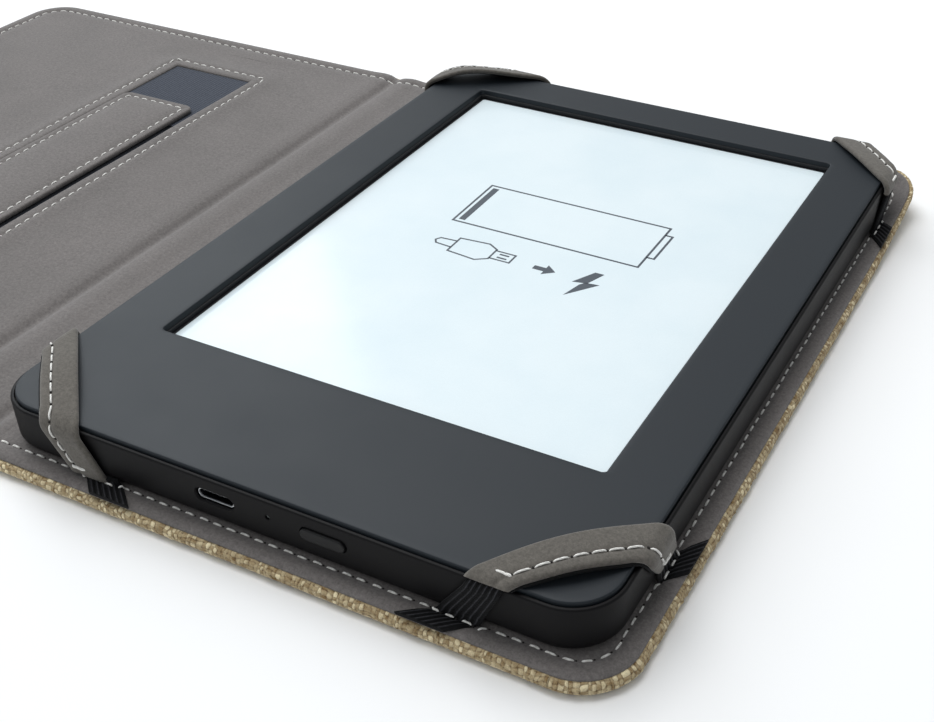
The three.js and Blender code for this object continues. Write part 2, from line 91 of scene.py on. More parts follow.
READER_LOW, READER_HIGH = cad_box("rear_housing")
READER_RADIUS = 9.5
READER_MIDDLE = (READER_LOW + READER_HIGH) / 2
READER_HALF = (READER_HIGH - READER_LOW) / 2
BEZEL_LOW, BEZEL_HIGH = cad_box("front_bezel")
READER_TOP = BEZEL_HIGH[2]
BEZEL_INSET = BEZEL_LOW[0] - READER_LOW[0]
BEZEL_SEAM = 0.25
BEZEL_THICKNESS = 1.5
BEZEL_BOTTOM = READER_TOP - BEZEL_THICKNESS
DISPLAY_TOP = cad_box("epaper_panel")[1][2]

WINDOW_GAP = 0.2
WINDOW_LOW = cad_box("window_backing")[0] - WINDOW_GAP
WINDOW_HIGH = cad_box("window_backing")[1] + WINDOW_GAP


def opening_of(node, border=7.0, bevel=0.25):
    """The lowest and highest corner of a frame-shaped CAD node's hole, just below its bevelled top edge."""
    points = np.array([v.co for v in frame["nodes"][node].data.vertices]) / MM
    top = points[np.abs(points[:, 2] - points[:, 2].max() + bevel) < 0.02]
    inside = ((top > points.min(0) + border) & (top < points.max(0) - border))[:, :2].all(1)
    return top[inside].min(0)[:2], top[inside].max(0)[:2]


SCREEN_LOW, SCREEN_HIGH = opening_of("front_bezel")
SCREEN_RADIUS = 1.0

# Materials.


def srgb(red, green, blue):
    """A linear colour from 8-bit display values."""
    linear = [((c / 255 + 0.055) / 1.055) ** 2.4 if c > 10 else c / 255 / 12.92 for c in (red, green, blue)]
    return (*linear, 1.0)


class Shader:
    """A Principled material with short calls for adding nodes."""

    def __init__(self, name, **sockets):
        self.material = bpy.data.materials.new(name)
        self.material.use_nodes = True
        self.tree = self.material.node_tree
        self.bsdf = self.tree.nodes["Principled BSDF"]
        for socket, value in sockets.items():
            self.bsdf.inputs[socket.replace("_", " ")].default_value = value

    def node(self, kind, inputs, output=0, **settings):
        node = self.tree.nodes.new("ShaderNode" + kind)
        for name, value in settings.items():
            setattr(node, name, value)
        for socket, value in inputs.items():
            if isinstance(value, bpy.types.NodeSocket):
                self.tree.links.new(value, node.inputs[socket])
            else:
                node.inputs[socket].default_value = value
        return node.outputs[output]

    def place(self, attribute="rest"):
        """Coordinates in millimetres that stay with the mesh."""
        return self.node("Attribute", {}, "Vector", attribute_name=attribute)

    def object_place(self):
        """The same for a carried-over CAD node, whose object moves rigidly."""
        metres = self.node("TexCoord", {}, "Object")
        return self.node("VectorMath", {0: metres, "Scale": 1 / MM}, 0, operation="SCALE")

    def parts(self, vector):
        return self.node("SeparateXYZ", {0: vector}).node.outputs[:3]

    def math(self, operation, *values):
        return self.node("Math", dict(enumerate(values)), operation=operation)

    def noise(self, vector, scale, detail=2.0, roughness=0.5):
        inputs = {"Vector": vector, "Scale": scale, "Detail": detail, "Roughness": roughness}
        return self.node("TexNoise", inputs)

    def span(self, value, low, high, to_low, to_high):
        inputs = {"Value": value, "From Min": low, "From Max": high, "To Min": to_low, "To Max": to_high}
        return self.node("MapRange", inputs)

    def noise_span(self, noise, low, high):
        """A noise, which is mostly between 0.3 and 0.7, brought to another range."""
        return self.span(noise, 0.3, 0.7, low, high)

    def mix(self, factor, first, second, blend="MIX"):
        return self.node("Mix", {0: factor, 6: first, 7: second}, 2, data_type="RGBA", blend_type=blend)

    def shade(self, noise, colour, low, high):
        """The colour, multiplied by a noise brought to the range from low to high."""
        grey = self.noise_span(noise, low, high)
        tone = self.node("CombineColor", {0: grey, 1: grey, 2: grey})
        return self.mix(1.0, colour, tone, "MULTIPLY")

    def set(self, **sockets):
        for name, value in sockets.items():
            self.tree.links.new(value, self.bsdf.inputs[name.replace("_", " ")])
        return self.material

    def surface(self, tone, rough, relief, depth, strength):
        """The finished material, with a relief of the given depth."""
        bump = self.node("Bump", {"Height": relief, "Distance": depth * MM, "Strength": strength})
        return self.set(Base_Color=tone, Roughness=rough, Normal=bump)


def suede(name, colour, light):
    """Microsuede: a fine mottled nap with broad brushed patches."""
    s = Shader(name, Sheen_Weight=0.25, Sheen_Roughness=0.45, Specular_IOR_Level=0.15)
    place = s.place()
    grain = s.noise(place, 1.5, 4.0, 0.7)
    flecks = s.noise(place, 4.0, 2.0, 0.5)
    patches = s.noise(place, 0.05, 3.0, 0.55)
    tone = s.mix(s.noise_span(patches, 0.2, 0.8), colour, light)
    tone = s.shade(grain, tone, 0.76, 1.24)
    tone = s.shade(flecks, tone, 0.88, 1.12)
    height = s.math("ADD", grain, s.math("MULTIPLY", flecks, 0.5))
    return s.surface(tone, s.noise_span(grain, 0.88, 0.98), height, 0.12, 0.55)


def weave_of(s, place):
    """A plain weave one unit apart: its height, its yarns' numbers, and whether the warp yarn is on top."""
    u, v, _ = s.parts(place)
    column, row = s.math("FLOOR", u), s.math("FLOOR", v)

    def rounded(t):
        edge = s.math("MULTIPLY_ADD", s.math("FRACT", t), 2.0, -1.0)
        inside = s.math("SUBTRACT", 1.0, s.math("MULTIPLY", edge, edge))
        return s.math("SQRT", s.math("MAXIMUM", inside, 0.0))

    def over(t, yarn, sign):
        turn = s.math("MULTIPLY", s.math("ADD", s.math("SUBTRACT", t, 0.5), yarn), math.pi)
        return s.math("MULTIPLY_ADD", s.math("COSINE", turn), 0.5 * sign, 0.5)

    warp = s.math("MULTIPLY", rounded(u), over(v, column, 1))
    weft = s.math("MULTIPLY", rounded(v), over(u, row, -1))
    top = s.math("GREATER_THAN", warp, weft)
    return s.math("MAXIMUM", warp, weft), column, row, top


def burlap_material():
    """Coarse undyed plain weave, with a tone of its own for each yarn and painted shade in the gaps between
    the yarns.
    """
    s = Shader("burlap_weave", Sheen_Weight=0.1, Specular_IOR_Level=0.2)
    place = s.place("weave")
    wobble = s.node("TexNoise", {"Vector": place, "Scale": 0.45, "Detail": 2.0}, 1)
    shift = s.node("VectorMath", {0: wobble, 1: (0.5, 0.5, 0.5)}, operation="SUBTRACT")
    bent = s.node("VectorMath", {0: shift, 1: (1.1, 1.1, 0.0), 2: place}, operation="MULTIPLY_ADD")
    height, column, row, top = weave_of(s, bent)
    warp_tone = s.node("TexWhiteNoise", {"W": column}, noise_dimensions="1D")
    weft_tone = s.node("TexWhiteNoise", {"W": s.math("ADD", row, 0.37)}, noise_dimensions="1D")
    yarn = s.mix(top, s.node("CombineColor", {0: weft_tone}), s.node("CombineColor", {0: warp_tone}))
    yarn_tone = s.node("SeparateColor", {0: yarn})
    slub = s.noise(place, 0.7, 4.0, 0.65)
    fibre = s.noise(place, 5.0, 4.0, 0.7)
    mixed = s.math("MULTIPLY_ADD", yarn_tone, 0.5, s.math("MULTIPLY", slub, 0.8))
    tone = s.mix(s.span(mixed, 0.35, 0.95, 0, 1), srgb(134, 108, 70), srgb(244, 229, 190))
    tone = s.shade(fibre, tone, 0.72, 1.25)
    # Painted shade: where the weave is low, between the yarns, the colour goes to a dark brown.
    gap_shade_height = s.math("MULTIPLY_ADD", slub, 0.9, height)
    gap = s.span(gap_shade_height, 0.5, 1.05, 0.0, 1.0)
    tone = s.mix(gap, srgb(84, 62, 40), tone)
    relief = s.math("MULTIPLY_ADD", fibre, 0.25, height)
    return s.surface(tone, s.noise_span(slub, 0.85, 0.97), relief, 0.3, 0.7)


def thread_material(name, colour):
    """Twisted sewing thread."""
    s = Shader(name, Sheen_Weight=0.3, Specular_IOR_Level=0.3)
    place = s.place("weave")
    inputs = {"Vector": place, "Scale": 0.55, "Distortion": 0.8}
    twist = s.node("TexWave", inputs, 1, bands_direction="DIAGONAL")
    fuzz = s.noise(place, 5.0, 2.0)
    tone = s.mix(s.span(twist, 0, 1, 0.0, 0.3), colour, srgb(150, 145, 138))
    return s.surface(s.shade(fuzz, tone, 0.88, 1.08), s.noise_span(fuzz, 0.6, 0.8), twist, 0.08, 0.6)


def elastic_material():
    """Black braided elastic: cords run along it, and its rib crests are painted a little lighter as a
    highlight.
    """
    s = Shader("elastic_black", Sheen_Weight=0.03, Specular_IOR_Level=0.15)
    place = s.place("weave")
    along, _, height = s.parts(place)
    cross = s.math("SINE", s.math("MULTIPLY", along, 11.0))
    fuzz = s.noise(place, 3.0, 3.0)
    # Painted highlight: the tops of the ribs are made lighter.
    crest = s.span(s.math("MULTIPLY_ADD", fuzz, 0.35, height), 1.05, 1.25, 0.0, 1.0)
    tone = s.mix(crest, srgb(9, 9, 11), srgb(62, 62, 66))
    relief = s.math("MULTIPLY_ADD", fuzz, 0.8, s.math("MULTIPLY", cross, 0.12))
    return s.surface(tone, s.noise_span(fuzz, 0.7, 0.92), relief, 0.07, 0.6)


def webbing_material(name, low, high):
    """Navy woven elastic with fine cords along it and a close cross weave, its raised cords painted lighter
    as highlight and its hollows darker as shade.
    """
    s = Shader(name, Sheen_Weight=0.2, Specular_IOR_Level=0.2)
    place = s.place("weave")
    along, across, _ = s.parts(place)
    cord_pitch, weft_pitch = 0.9, 0.55
    cord = s.math("SINE", s.math("MULTIPLY", across, 2 * math.pi / cord_pitch))
    weft = s.math("SINE", s.math("MULTIPLY", along, 2 * math.pi / weft_pitch))
    fuzz = s.noise(place, 2.0, 3.0, 0.6)
    lit = s.math("MULTIPLY_ADD", cord, 0.12, s.math("MULTIPLY_ADD", weft, 0.06, fuzz))
    # Painted light: the colour mostly follows the relief, lighter on the raised cords and darker in the
    # hollows between them.
    tone = s.mix(s.span(lit, 0.3, 0.75, 0, 1), low, high)
    return s.surface(tone, s.noise_span(fuzz, 0.82, 0.95), lit, 0.2, 0.6)


def moulded(name, colour, roughness, grain=0.02, scale=4.0, spread=0.06, on_cad=False, **sockets):
    """Moulded plastic or metal with a fine surface texture, handling marks and a slight colour drift."""
    s = Shader(name, **sockets)
    place = s.object_place() if on_cad else s.place()
    fine = s.noise(place, scale, 3.0, 0.6)
    marks = s.noise(place, 0.06, 4.0, 0.6)
    tone = s.shade(fine, s.shade(marks, colour, 1 - spread, 1 + spread), 1 - spread / 2, 1 + spread / 2)
    rough = s.math("MULTIPLY_ADD", marks, 0.12, s.noise_span(fine, roughness - 0.09, roughness - 0.03))
    return s.surface(tone, rough, fine, grain, 0.5)


def paper_material():
    """The display: pale, with the faint mottle of its pigment capsules, under a clear front."""
    s = Shader("epaper_white", Coat_Weight=0.6, Coat_Roughness=0.12, Specular_IOR_Level=0.3)
    place = s.place()
    capsules = s.noise(place, 6.0, 2.0)
    cloud = s.noise(place, 0.05, 3.0)
    tone = s.mix(s.span(cloud, 0.35, 0.65, 0, 1), srgb(213, 226, 231), srgb(219, 230, 234))
    tone = s.shade(capsules, tone, 0.975, 1.015)
    return s.surface(tone, s.noise_span(capsules, 0.42, 0.5), capsules, 0.01, 0.3)


def socket_material():
    """Plated steel, painted bright round its mouth as a highlight and painted dark inside as shade."""
    s = Shader("socket_steel", Metallic=1.0)
    place = s.place()
    fine = s.noise(place, 4.0, 3.0)
    mouth = cad_box("usb_shell")[0][1]
    # Painted light: the mouth's bright rim is a painted highlight, and the dark inside is painted shade.
    inside = s.span(s.parts(place)[1], mouth, mouth + 0.35, 0, 1)
    tone = s.shade(fine, s.mix(inside, srgb(205, 207, 210), srgb(50, 51, 54)), 0.94, 1.06)
    return s.surface(tone, s.noise_span(fine, 0.28, 0.36), fine, 0.01, 0.4)


SUEDE = suede("suede_lining", srgb(104, 100, 98), srgb(115, 110, 108))
BAND_SUEDE = suede("suede_band", srgb(92, 88, 83), srgb(101, 97, 91))
BURLAP = burlap_material()
THREAD = thread_material("thread_white", srgb(247, 245, 240))
# Painted shade: the dark spots at the stitches' ends stand for the shadow inside the needle holes.
HOLE_SHADE = moulded("needle_hole_shade", srgb(28, 24, 22), 0.9)
ELASTIC = elastic_material()
WEBBING = webbing_material("webbing_navy", srgb(41, 46, 58), srgb(61, 67, 79))
WINDOW_CLOTH = webbing_material("window_cloth_navy", srgb(40, 44, 55), srgb(54, 60, 72))
SHELL = moulded("shell_plastic", srgb(15, 14, 15), 0.5, grain=0.012, scale=5.0, Specular_IOR_Level=0.12)
FACE_LOOK = {"grain": 0.01, "scale": 6.0, "spread": 0.04, "Specular_IOR_Level": 0.22}
FACE = moulded("bezel_plastic", srgb(33, 38, 43), 0.5, **FACE_LOOK)
# Near-black painted shade for the wall of the screen's opening below its ledge.
OPENING_WALL_SHADE = moulded("opening_wall_shade", srgb(16, 16, 20), 0.6)
CAP = moulded("button_plastic", srgb(15, 15, 16), 0.42, grain=0.012, Specular_IOR_Level=0.22)
SOCKET = socket_material()
PAPER = paper_material()
BOARD = moulded("greyboard", srgb(140, 132, 116), 0.95, scale=1.6)
INK = moulded("display_ink", srgb(58, 66, 76), 0.5, spread=0.08)

STEEL_NODES = ("frame_screw_*", "board_screw_*", "processor_shield", "*_connector")
BLACK_NODES = ("wireless_*", "power_switch", "usb_tongue")
CAD_LOOKS = {
    "board": (("spine_board", "front_board"), srgb(140, 132, 116), 0.95, 0.0),
    "margin": (("epaper_panel",), srgb(24, 25, 30), 0.5, 0.0),
    "film": (("touch_sensor_frame",), srgb(176, 138, 70), 0.4, 0.0),
    "midframe": (("midframe",), srgb(150, 152, 156), 0.5, 1.0),
    "steel": (STEEL_NODES, srgb(170, 171, 174), 0.35, 1.0),
    "circuit": (("mainboard",), srgb(28, 84, 56), 0.5, 0.0),
    "cell": (("battery_pack",), srgb(165, 168, 172), 0.4, 0.6),
    "ribbon": (("battery_lead", "display_ribbon"), srgb(178, 120, 46), 0.45, 0.0),
    "chip": (BLACK_NODES, srgb(32, 33, 36), 0.5, 0.0),
    "diffuser": (("light_pipe", "status_led"), srgb(96, 100, 98), 0.3, 0.0),
}


def paint_cad_nodes():
    """Gives every CAD node that may show its own procedural material."""
    for look, (patterns, colour, roughness, metallic) in CAD_LOOKS.items():
        material = moulded(f"cad_{look}", colour, roughness, scale=1.6, on_cad=True, Metallic=metallic)
        for name, node in frame["nodes"].items():
            if any(fnmatch(name, pattern) for pattern in patterns):
                node.data.materials.clear()
                node.data.materials.append(material)


# Mesh tools.


def piece(name, points, faces, materials, slot, weave=None, sharp=35, picked=None):
    """A mesh object, which keeps its points at rest and the weave's coordinates for its material."""
    materials = materials if isinstance(materials, list) else [materials]
    mesh = bpy.data.meshes.new(name)
    mesh.from_pydata((points * MM).tolist(), [], [list(map(int, f)) for f in faces])
    for material in materials:
        mesh.materials.append(material)
    if picked is not None:
        mesh.polygons.foreach_set("material_index", np.array(picked, np.int32))
    for attribute, values in (("rest", points), ("weave", points if weave is None else weave)):
        layer = mesh.attributes.new(attribute, "FLOAT_VECTOR", "POINT")
        layer.data.foreach_set("vector", np.ascontiguousarray(values, np.float32).ravel())
    obj = bpy.data.objects.new(name, mesh)
    bpy.context.scene.collection.objects.link(obj)
    smooth(obj, sharp)
    return obj


def smooth(obj, sharp):
    obj.data.polygons.foreach_set("use_smooth", [True] * len(obj.data.polygons))
    obj.data.set_sharp_from_angle(angle=math.radians(sharp))
    obj.data.update()


class Outline:
    """A rounded rectangle. Rings of it at different insets have matching points."""

    def __init__(self, low, high, radius, arc, sides):
        """arc is the steps round a corner, and sides the steps along x and along y."""
        r, (x0, y0), (x1, y1) = radius, low[:2], high[:2]
        centres = [(x1 - r, y0 + r), (x1 - r, y1 - r), (x0 + r, y1 - r), (x0 + r, y0 + r)]
        skeleton, normal = [], []
        for i, centre in enumerate(centres):
            following = centres[(i + 1) % 4]
            for k in range(arc + 1):
                angle = math.pi / 2 * (i - 1 + k / arc)
                skeleton.append(centre)
                normal.append((math.cos(angle), math.sin(angle)))
            count = sides[(i + 1) % 2]
            for k in range(1, count):
                t = k / count
                skeleton.append([c + (f - c) * t for c, f in zip(centre, following)])
                normal.append(normal[-1])
        self.skeleton, self.normal, self.radius = np.array(skeleton), np.array(normal), radius
        steps = np.linalg.norm(np.roll(self.ring(0), -1, 0) - self.ring(0), axis=1)
        self.run = np.concatenate([[0], np.cumsum(steps)[:-1]])

    def ring(self, inset):
        return self.skeleton + self.normal * (self.radius - inset)

    def at(self, inset, z):
        ring = self.ring(inset)
        return np.column_stack([ring, np.full(len(ring), float(z))])


def fine_outline(low, high, radius, step):
    """An outline with points about one step apart."""
    sides = [max(2, round((high[i] - low[i] - 2 * radius) / step)) for i in (0, 1)]
    return Outline(low, high, radius, max(3, round(radius * math.pi / 2 / step)), sides)


def ring_faces(count, n, closed=False, first_cap=True, last_cap=True):
    """Faces of a surface through a count of rings, each of n points."""
    i = np.arange(n)
    j = (i + 1) % n
    following = [*range(1, count), 0] if closed else range(1, count)
    faces = []
    for a, b in enumerate(following):
        faces += np.column_stack([a * n + i, a * n + j, b * n + j, b * n + i]).tolist()
    if not closed and first_cap:
        faces.append(i[::-1].tolist())
    if not closed and last_cap:
        faces.append(((count - 1) * n + i).tolist())
    return faces


def loft(rings, **caps):
    """Points and faces of a surface through rings of equal count."""
    return np.vstack(rings), ring_faces(len(rings), len(rings[0]), **caps)


def sliced(obj, xs=(), ys=(), keep=None, fill=True):
    """Cuts edges into a mesh along planes.

    With keep=(x, side), only that side of x stays, and with fill it is closed at the cut.
    """
    bm = bmesh.new()
    bm.from_mesh(obj.data)

    def cut(axis, at, **cleared):
        normal = Vector((axis == 0, axis == 1, 0))
        geometry = bm.verts[:] + bm.edges[:] + bm.faces[:]
        bmesh.ops.bisect_plane(
            bm, geom=geometry, dist=1e-6, plane_co=normal * at * MM, plane_no=normal, **cleared
        )

    for axis, places in ((0, xs), (1, ys)):
        for at in places:
            cut(axis, at)
    if keep is not None:
        at, side = keep
        cut(0, at, clear_outer=side < 0, clear_inner=side > 0)
        if fill:
            rim = [e for e in bm.edges if e.is_boundary]
            bmesh.ops.holes_fill(bm, edges=rim, sides=0)
    bm.to_mesh(obj.data)
    bm.free()
    obj.data.update()


def points_of(obj):
    points = np.zeros(len(obj.data.vertices) * 3)
    obj.data.vertices.foreach_get("co", points)
    return points.reshape(-1, 3) / MM


def reshape(obj, points):
    """Moves an object's points, and keeps their new places for its material."""
    obj.data.vertices.foreach_set("co", (points * MM).astype(np.float32).ravel())
    obj.data.attributes["rest"].data.foreach_set("vector", points.astype(np.float32).ravel())
    obj.data.update()


def bump_at(t, middle, width):
    """A smooth bump, 1 at its middle."""
    return np.exp(-(((t - middle) / width) ** 2))


def eased(t):
    """A rise from 0 to 1 with a soft start and end."""
    t = np.clip(t, 0, 1)
    return t * t * (3 - 2 * t)


# The cover: burlap outside, suede lining inside, white stitching round its edge.

SIDES = {"right": 1, "left": -1}
HINGE_CUTS = [-3, -2.4, -2, -1.6, -1.2, -0.8, -0.4, 0, 0.4, 0.8, 1.2, 1.6, 2, 2.4, 3]


def bend_with_cover(obj):
    """Bakes a piece's transform into its mesh."""
    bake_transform(obj)


def inset_in_cover(x, y):
    """How far inside the cover's outline a place is."""
    middle, half = (COVER_LOW + COVER_HIGH) / 2, (COVER_HIGH - COVER_LOW) / 2
    dx = np.abs(x - middle[0]) - (half[0] - COVER_RADIUS)
    dy = np.abs(y - middle[1]) - (half[1] - COVER_RADIUS)
    corner = np.hypot(np.maximum(dx, 0), np.maximum(dy, 0))
    return COVER_RADIUS - corner - np.minimum(np.maximum(dx, dy), 0)


def outside_window(x, y):
    """How far outside the hand strap's window a place is, below zero inside."""
    dx = np.maximum(WINDOW_LOW[0] - x, x - WINDOW_HIGH[0])
    dy = np.maximum(WINDOW_LOW[1] - y, y - WINDOW_HIGH[1])
    out = np.hypot(np.maximum(dx, 0), np.maximum(dy, 0))
    return np.where(out > 0, out, np.maximum(dx, dy))


STITCH_INSET = 4.5
ELASTIC_STITCH_INSET = 3.6
STITCH_PITCH = 2.85
WINDOW_STITCH = 3.0


def ripple(x, y):
    """A soft unevenness from -1 to 1, a few centimetres long."""
    waves = [(0.11, 0.05, 0.3), (-0.06, 0.13, 1.9), (0.17, 0.09, 4.1)]
    waves += [(0.05, -0.21, 2.2), (0.23, 0.16, 5.0)]
    return sum(np.sin(a * x + b * y + c) for a, b, c in waves) / len(waves)


def outside_reader(x, y):
    """How far outside the e-reader's outline a place is, and zero inside it."""
    dx = np.maximum(np.abs(x - READER_MIDDLE[0]) - (READER_HALF[0] - READER_RADIUS), 0)
    dy = np.maximum(np.abs(y - READER_MIDDLE[1]) - (READER_HALF[1] - READER_RADIUS), 0)
    return np.maximum(np.hypot(dx, dy) - READER_RADIUS, 0)


CURL = 5.2
CURL_POWER = 1.3
CURL_START = 44.0
CURL_FULL = 4.0
CORNER_REACH = 6.8
FOLD_WIDTH = 1.5
FOLD_DEPTH = 0.8
CHANNEL_DEPTH = 0.3
CHANNEL_WIDTH = 0.55


def curl(x, y):
    """How far the back cover's top right corner is bent up, past the e-reader that holds it flat."""
    to_corner = x - COVER_HIGH[0] + y - COVER_HIGH[1]
    near_corner = eased((to_corner + CURL_START) / (CURL_START - CURL_FULL))
    return CURL * near_corner * (outside_reader(x, y) / CORNER_REACH) ** CURL_POWER


def near_reader(x, y, border=1.0):
    """Whether a place is under the e-reader or within a border round it."""
    beside = (x > READER_LOW[0] - border) & (x < READER_HIGH[0] + border)
    return beside & (y > READER_LOW[1] - border) & (y < READER_HIGH[1] + border)


def rolled_edge(d, drop, width):
    """How far a sheet's edge is turned down at a distance in from it."""
    return drop * np.clip(1 - d / width, 0, 1) ** 2


def lining_height(x, y):
    """The top of the lining: rolled at its edges, sunk along its seams and folds, and raised beside them."""
    d = inset_in_cover(x, y) - LINING_INSET
    seam = STITCH_INSET - LINING_INSET
    z = LINING_TOP - rolled_edge(d, 0.45, 0.8)
    z = z + 0.22 * np.sin(math.pi * np.clip(d / seam, 0, 1)) - CHANNEL_DEPTH * bump_at(d, seam, CHANNEL_WIDTH)
    z = z + 0.16 * bump_at(d, seam + 2.6, 1.8)
    for hinge in (BACK_HINGE, FRONT_HINGE):
        z = z - FOLD_DEPTH * bump_at(x, hinge, FOLD_WIDTH)
    z = z + 0.3 * bump_at(x, FRONT_HINGE + 5.2, 2.2) + 0.2 * bump_at(x, FRONT_HINGE - 4.6, 2.4)
    w = outside_window(x, y)
    padded = 0.5 * eased((9 - w) / 6) - CHANNEL_DEPTH * bump_at(w, WINDOW_STITCH, CHANNEL_WIDTH)
    padded = padded - rolled_edge(w, 0.35, 0.7)
    z = z + np.where(x < FRONT_HINGE, padded, 0)
    z = z + 0.12 * ripple(x, y) * eased((d - seam) / 6)
    return np.where(near_reader(x, y), np.minimum(z, LINING_TOP), z) + curl(x, y)


def uneven(u):
    """Yarn numbers along the cloth, for yarns that are now closer and now farther apart."""
    return u + 0.34 * np.sin(0.61 * u) + 0.22 * np.sin(1.37 * u + 1.0) + 0.1 * np.sin(2.9 * u + 2.0)


YARN_PITCH = 0.8
YARNS = 1000
BURLAP_TURN = 1.15
WEAVE_RELIEF = 0.24
RELIEF_START = 3.5
RELIEF_EASE = 1.5
EDGE_WEAVE = 3.9


def burlap_relief(u, v, girth):
    """The height of the woven surface, with yarns that differ in girth along their length."""
    column, row = np.floor(u).astype(int), np.floor(v + u * 0.02).astype(int)
    thick = girth[column % YARNS] * girth[YARNS + row % YARNS]
    wavering = u + 0.2 * np.sin(v * 2.1 + u * 0.7)
    return WEAVE_RELIEF * (woven(wavering, v) * thick - 0.5)


def burlap_sheet():
    """Points, faces and weave coordinates of the whole cloth, wrapped up round the boards' edges."""
    girth = rng.uniform(0.45, 1.35, 2 * YARNS)
    outline = fine_outline(COVER_LOW, COVER_HIGH, COVER_RADIUS, 0.3)
    turn = BURLAP_TURN
    angles = np.linspace(0, math.pi / 2, 6)
    outer = [(inset, 0.0) for inset in (7.0, 5.5, 4.0, 3.0, 2.4, 1.8, 1.5)]
    outer += [(turn - turn * math.sin(a), turn - turn * math.cos(a)) for a in angles]
    outer += [(turn - turn * math.cos(a), RIM_TOP - turn + turn * math.sin(a)) for a in angles]
    outer += [(BURLAP_WRAP, RIM_TOP)]
    places = np.array(outer)
    along = np.concatenate([[0], np.cumsum(np.hypot(*np.diff(places, axis=0).T))])
    slope = np.gradient(places, axis=0)
    slope /= np.maximum(np.hypot(*slope.T)[:, None], 1e-9)
    u = uneven(outline.run / YARN_PITCH)
    rings, weave = [], []
    for (inset, z), run, (inward, upward) in zip(outer, along, slope):
        v = run / YARN_PITCH + 0.3 * np.sin(u * 0.47) + 0.15 * np.sin(u * 1.3 + 2)
        relief = burlap_relief(u, v, girth) * eased((run - RELIEF_START) / RELIEF_EASE)
        ring = outline.at(inset, z)
        ring[:, :2] += outline.normal * (upward * relief)[:, None]
        ring[:, 2] -= inward * relief
        rings.append(ring)
        weave.append(np.column_stack([u, v, 0 * u]))
    for inset in (BURLAP_WRAP, 3.0, 5.0, 7.0):
        rings.append(outline.at(inset, BURLAP_THICKNESS))
        weave.append(weave[-1])
    return *loft(rings), np.vstack(weave)


def make_burlap():
    """The outside cloth in two halves, with its weave in relief along the edge."""
    points, faces, weave = burlap_sheet()
    for side, sign in SIDES.items():
        obj = piece(f"burlap_{side}", points, faces, BURLAP, "burlap", weave=weave, sharp=180)
        hinge = BACK_HINGE if sign > 0 else FRONT_HINGE
        sliced(obj, [hinge + cut for cut in HINGE_CUTS], keep=(SPINE_MIDDLE, sign))
        here = points_of(obj)
        x, y, z = here.T
        groove = 0.45 * bump_at(x, hinge, 1.3)
        inner_face = z > 1.5
        here[:, 2] += groove * np.clip(1 - z / RIM_TOP, 0, 1) - 0.6 * groove * inner_face
        here[:, 2] += curl(x, y)
        flat = inset_in_cover(x, y) > EDGE_WEAVE
        layer = obj.data.attributes["weave"]
        values = np.zeros(here.size)
        layer.data.foreach_get("vector", values)
        values = values.reshape(-1, 3)
        values[flat] = np.column_stack([x[flat], y[flat], 0 * x[flat]]) / YARN_PITCH
        layer.data.foreach_set("vector", values.astype(np.float32).ravel())
        reshape(obj, here)
        smooth(obj, 60)
        bend_with_cover(obj)
        nodes = ("back_burlap", "hinge_tape_back")
        if sign < 0:
            nodes = ("spine_burlap", "front_burlap", "hinge_tape_front")
        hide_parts(*nodes)


def woven(u, v):
    """The height, from 0 to 1, of a plain weave with its yarns one unit apart."""

    def yarn(across, along, sign):
        arch = np.sqrt(np.maximum(1 - (2 * (across % 1) - 1) ** 2, 0))
        return arch * (0.5 + sign * 0.5 * np.cos(math.pi * (along - 0.5 + np.floor(across))))

    return np.maximum(yarn(u, v, 1), yarn(v, u, -1))


def plate(obj, top, bottom):
    """Turns a flat open mesh into a closed one between two heights, given as functions of x and y."""
    flat = points_of(obj)
    x, y = flat[:, 0], flat[:, 1]
    faces = [list(p.vertices) for p in obj.data.polygons]
    edges = dict.fromkeys(edge for face in faces for edge in zip(face, face[1:] + face[:1]))
    rim = [(a, b) for a, b in edges if (b, a) not in edges]
    n = len(flat)
    points = np.vstack([np.column_stack([x, y, top(x, y)]), np.column_stack([x, y, bottom(x, y)])])
    closed = faces + [[corner + n for corner in reversed(face)] for face in faces]
    closed += [[b, a, a + n, b + n] for a, b in rim]
    return points, closed


def lining_underside(x, y):
    """The bottom of the lining, which sinks a little into each fold."""
    grooves = bump_at(x, BACK_HINGE, FOLD_WIDTH) + bump_at(x, FRONT_HINGE, FOLD_WIDTH)
    return LINING_BOTTOM + curl(x, y) - 0.35 * grooves


def make_back_board():
    """The back cover's board, bent up with it at the corner."""
    low, high = cad_box("back_board")
    outline = fine_outline(low, high, COVER_RADIUS - 1.5, 1.0)
    points, faces = loft([outline.at(inset, 0) for inset in (0, 0.3, 1.2, 3, 6)], first_cap=False)
    flat = piece("flat", points, faces, BOARD, "cover_board")
    cuts = np.arange(20, 84, 4.0)
    sliced(flat, cuts[cuts < high[0]], cuts)
    closed = plate(flat, lambda x, y: high[2] + curl(x, y), lambda x, y: low[2] + curl(x, y))
    bpy.data.objects.remove(flat)
    board = piece("board_back", *closed, BOARD, "cover_board", sharp=50)
    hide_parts("back_board")
    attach(board, "root")


LINING_RINGS = (0, 0.1, 0.25, 0.5, 0.8, 1.3, 1.9, 2.5, 2.9, 3.2, 3.5, 3.8, 4.1, 4.6, 5.4, 6.4, 7.6, 9.0)
WINDOW_RINGS = (0.0, 0.1, 0.3, 0.6, 1.1, 1.8, 2.3, 2.7, 3.0, 3.3, 3.7, 4.4, 5.5, 7.0, 9.0)
LINING_HINGE_CUTS = HINGE_CUTS + [-9, -7.5, -6, -4.5, 4.5, 6, 7.5]


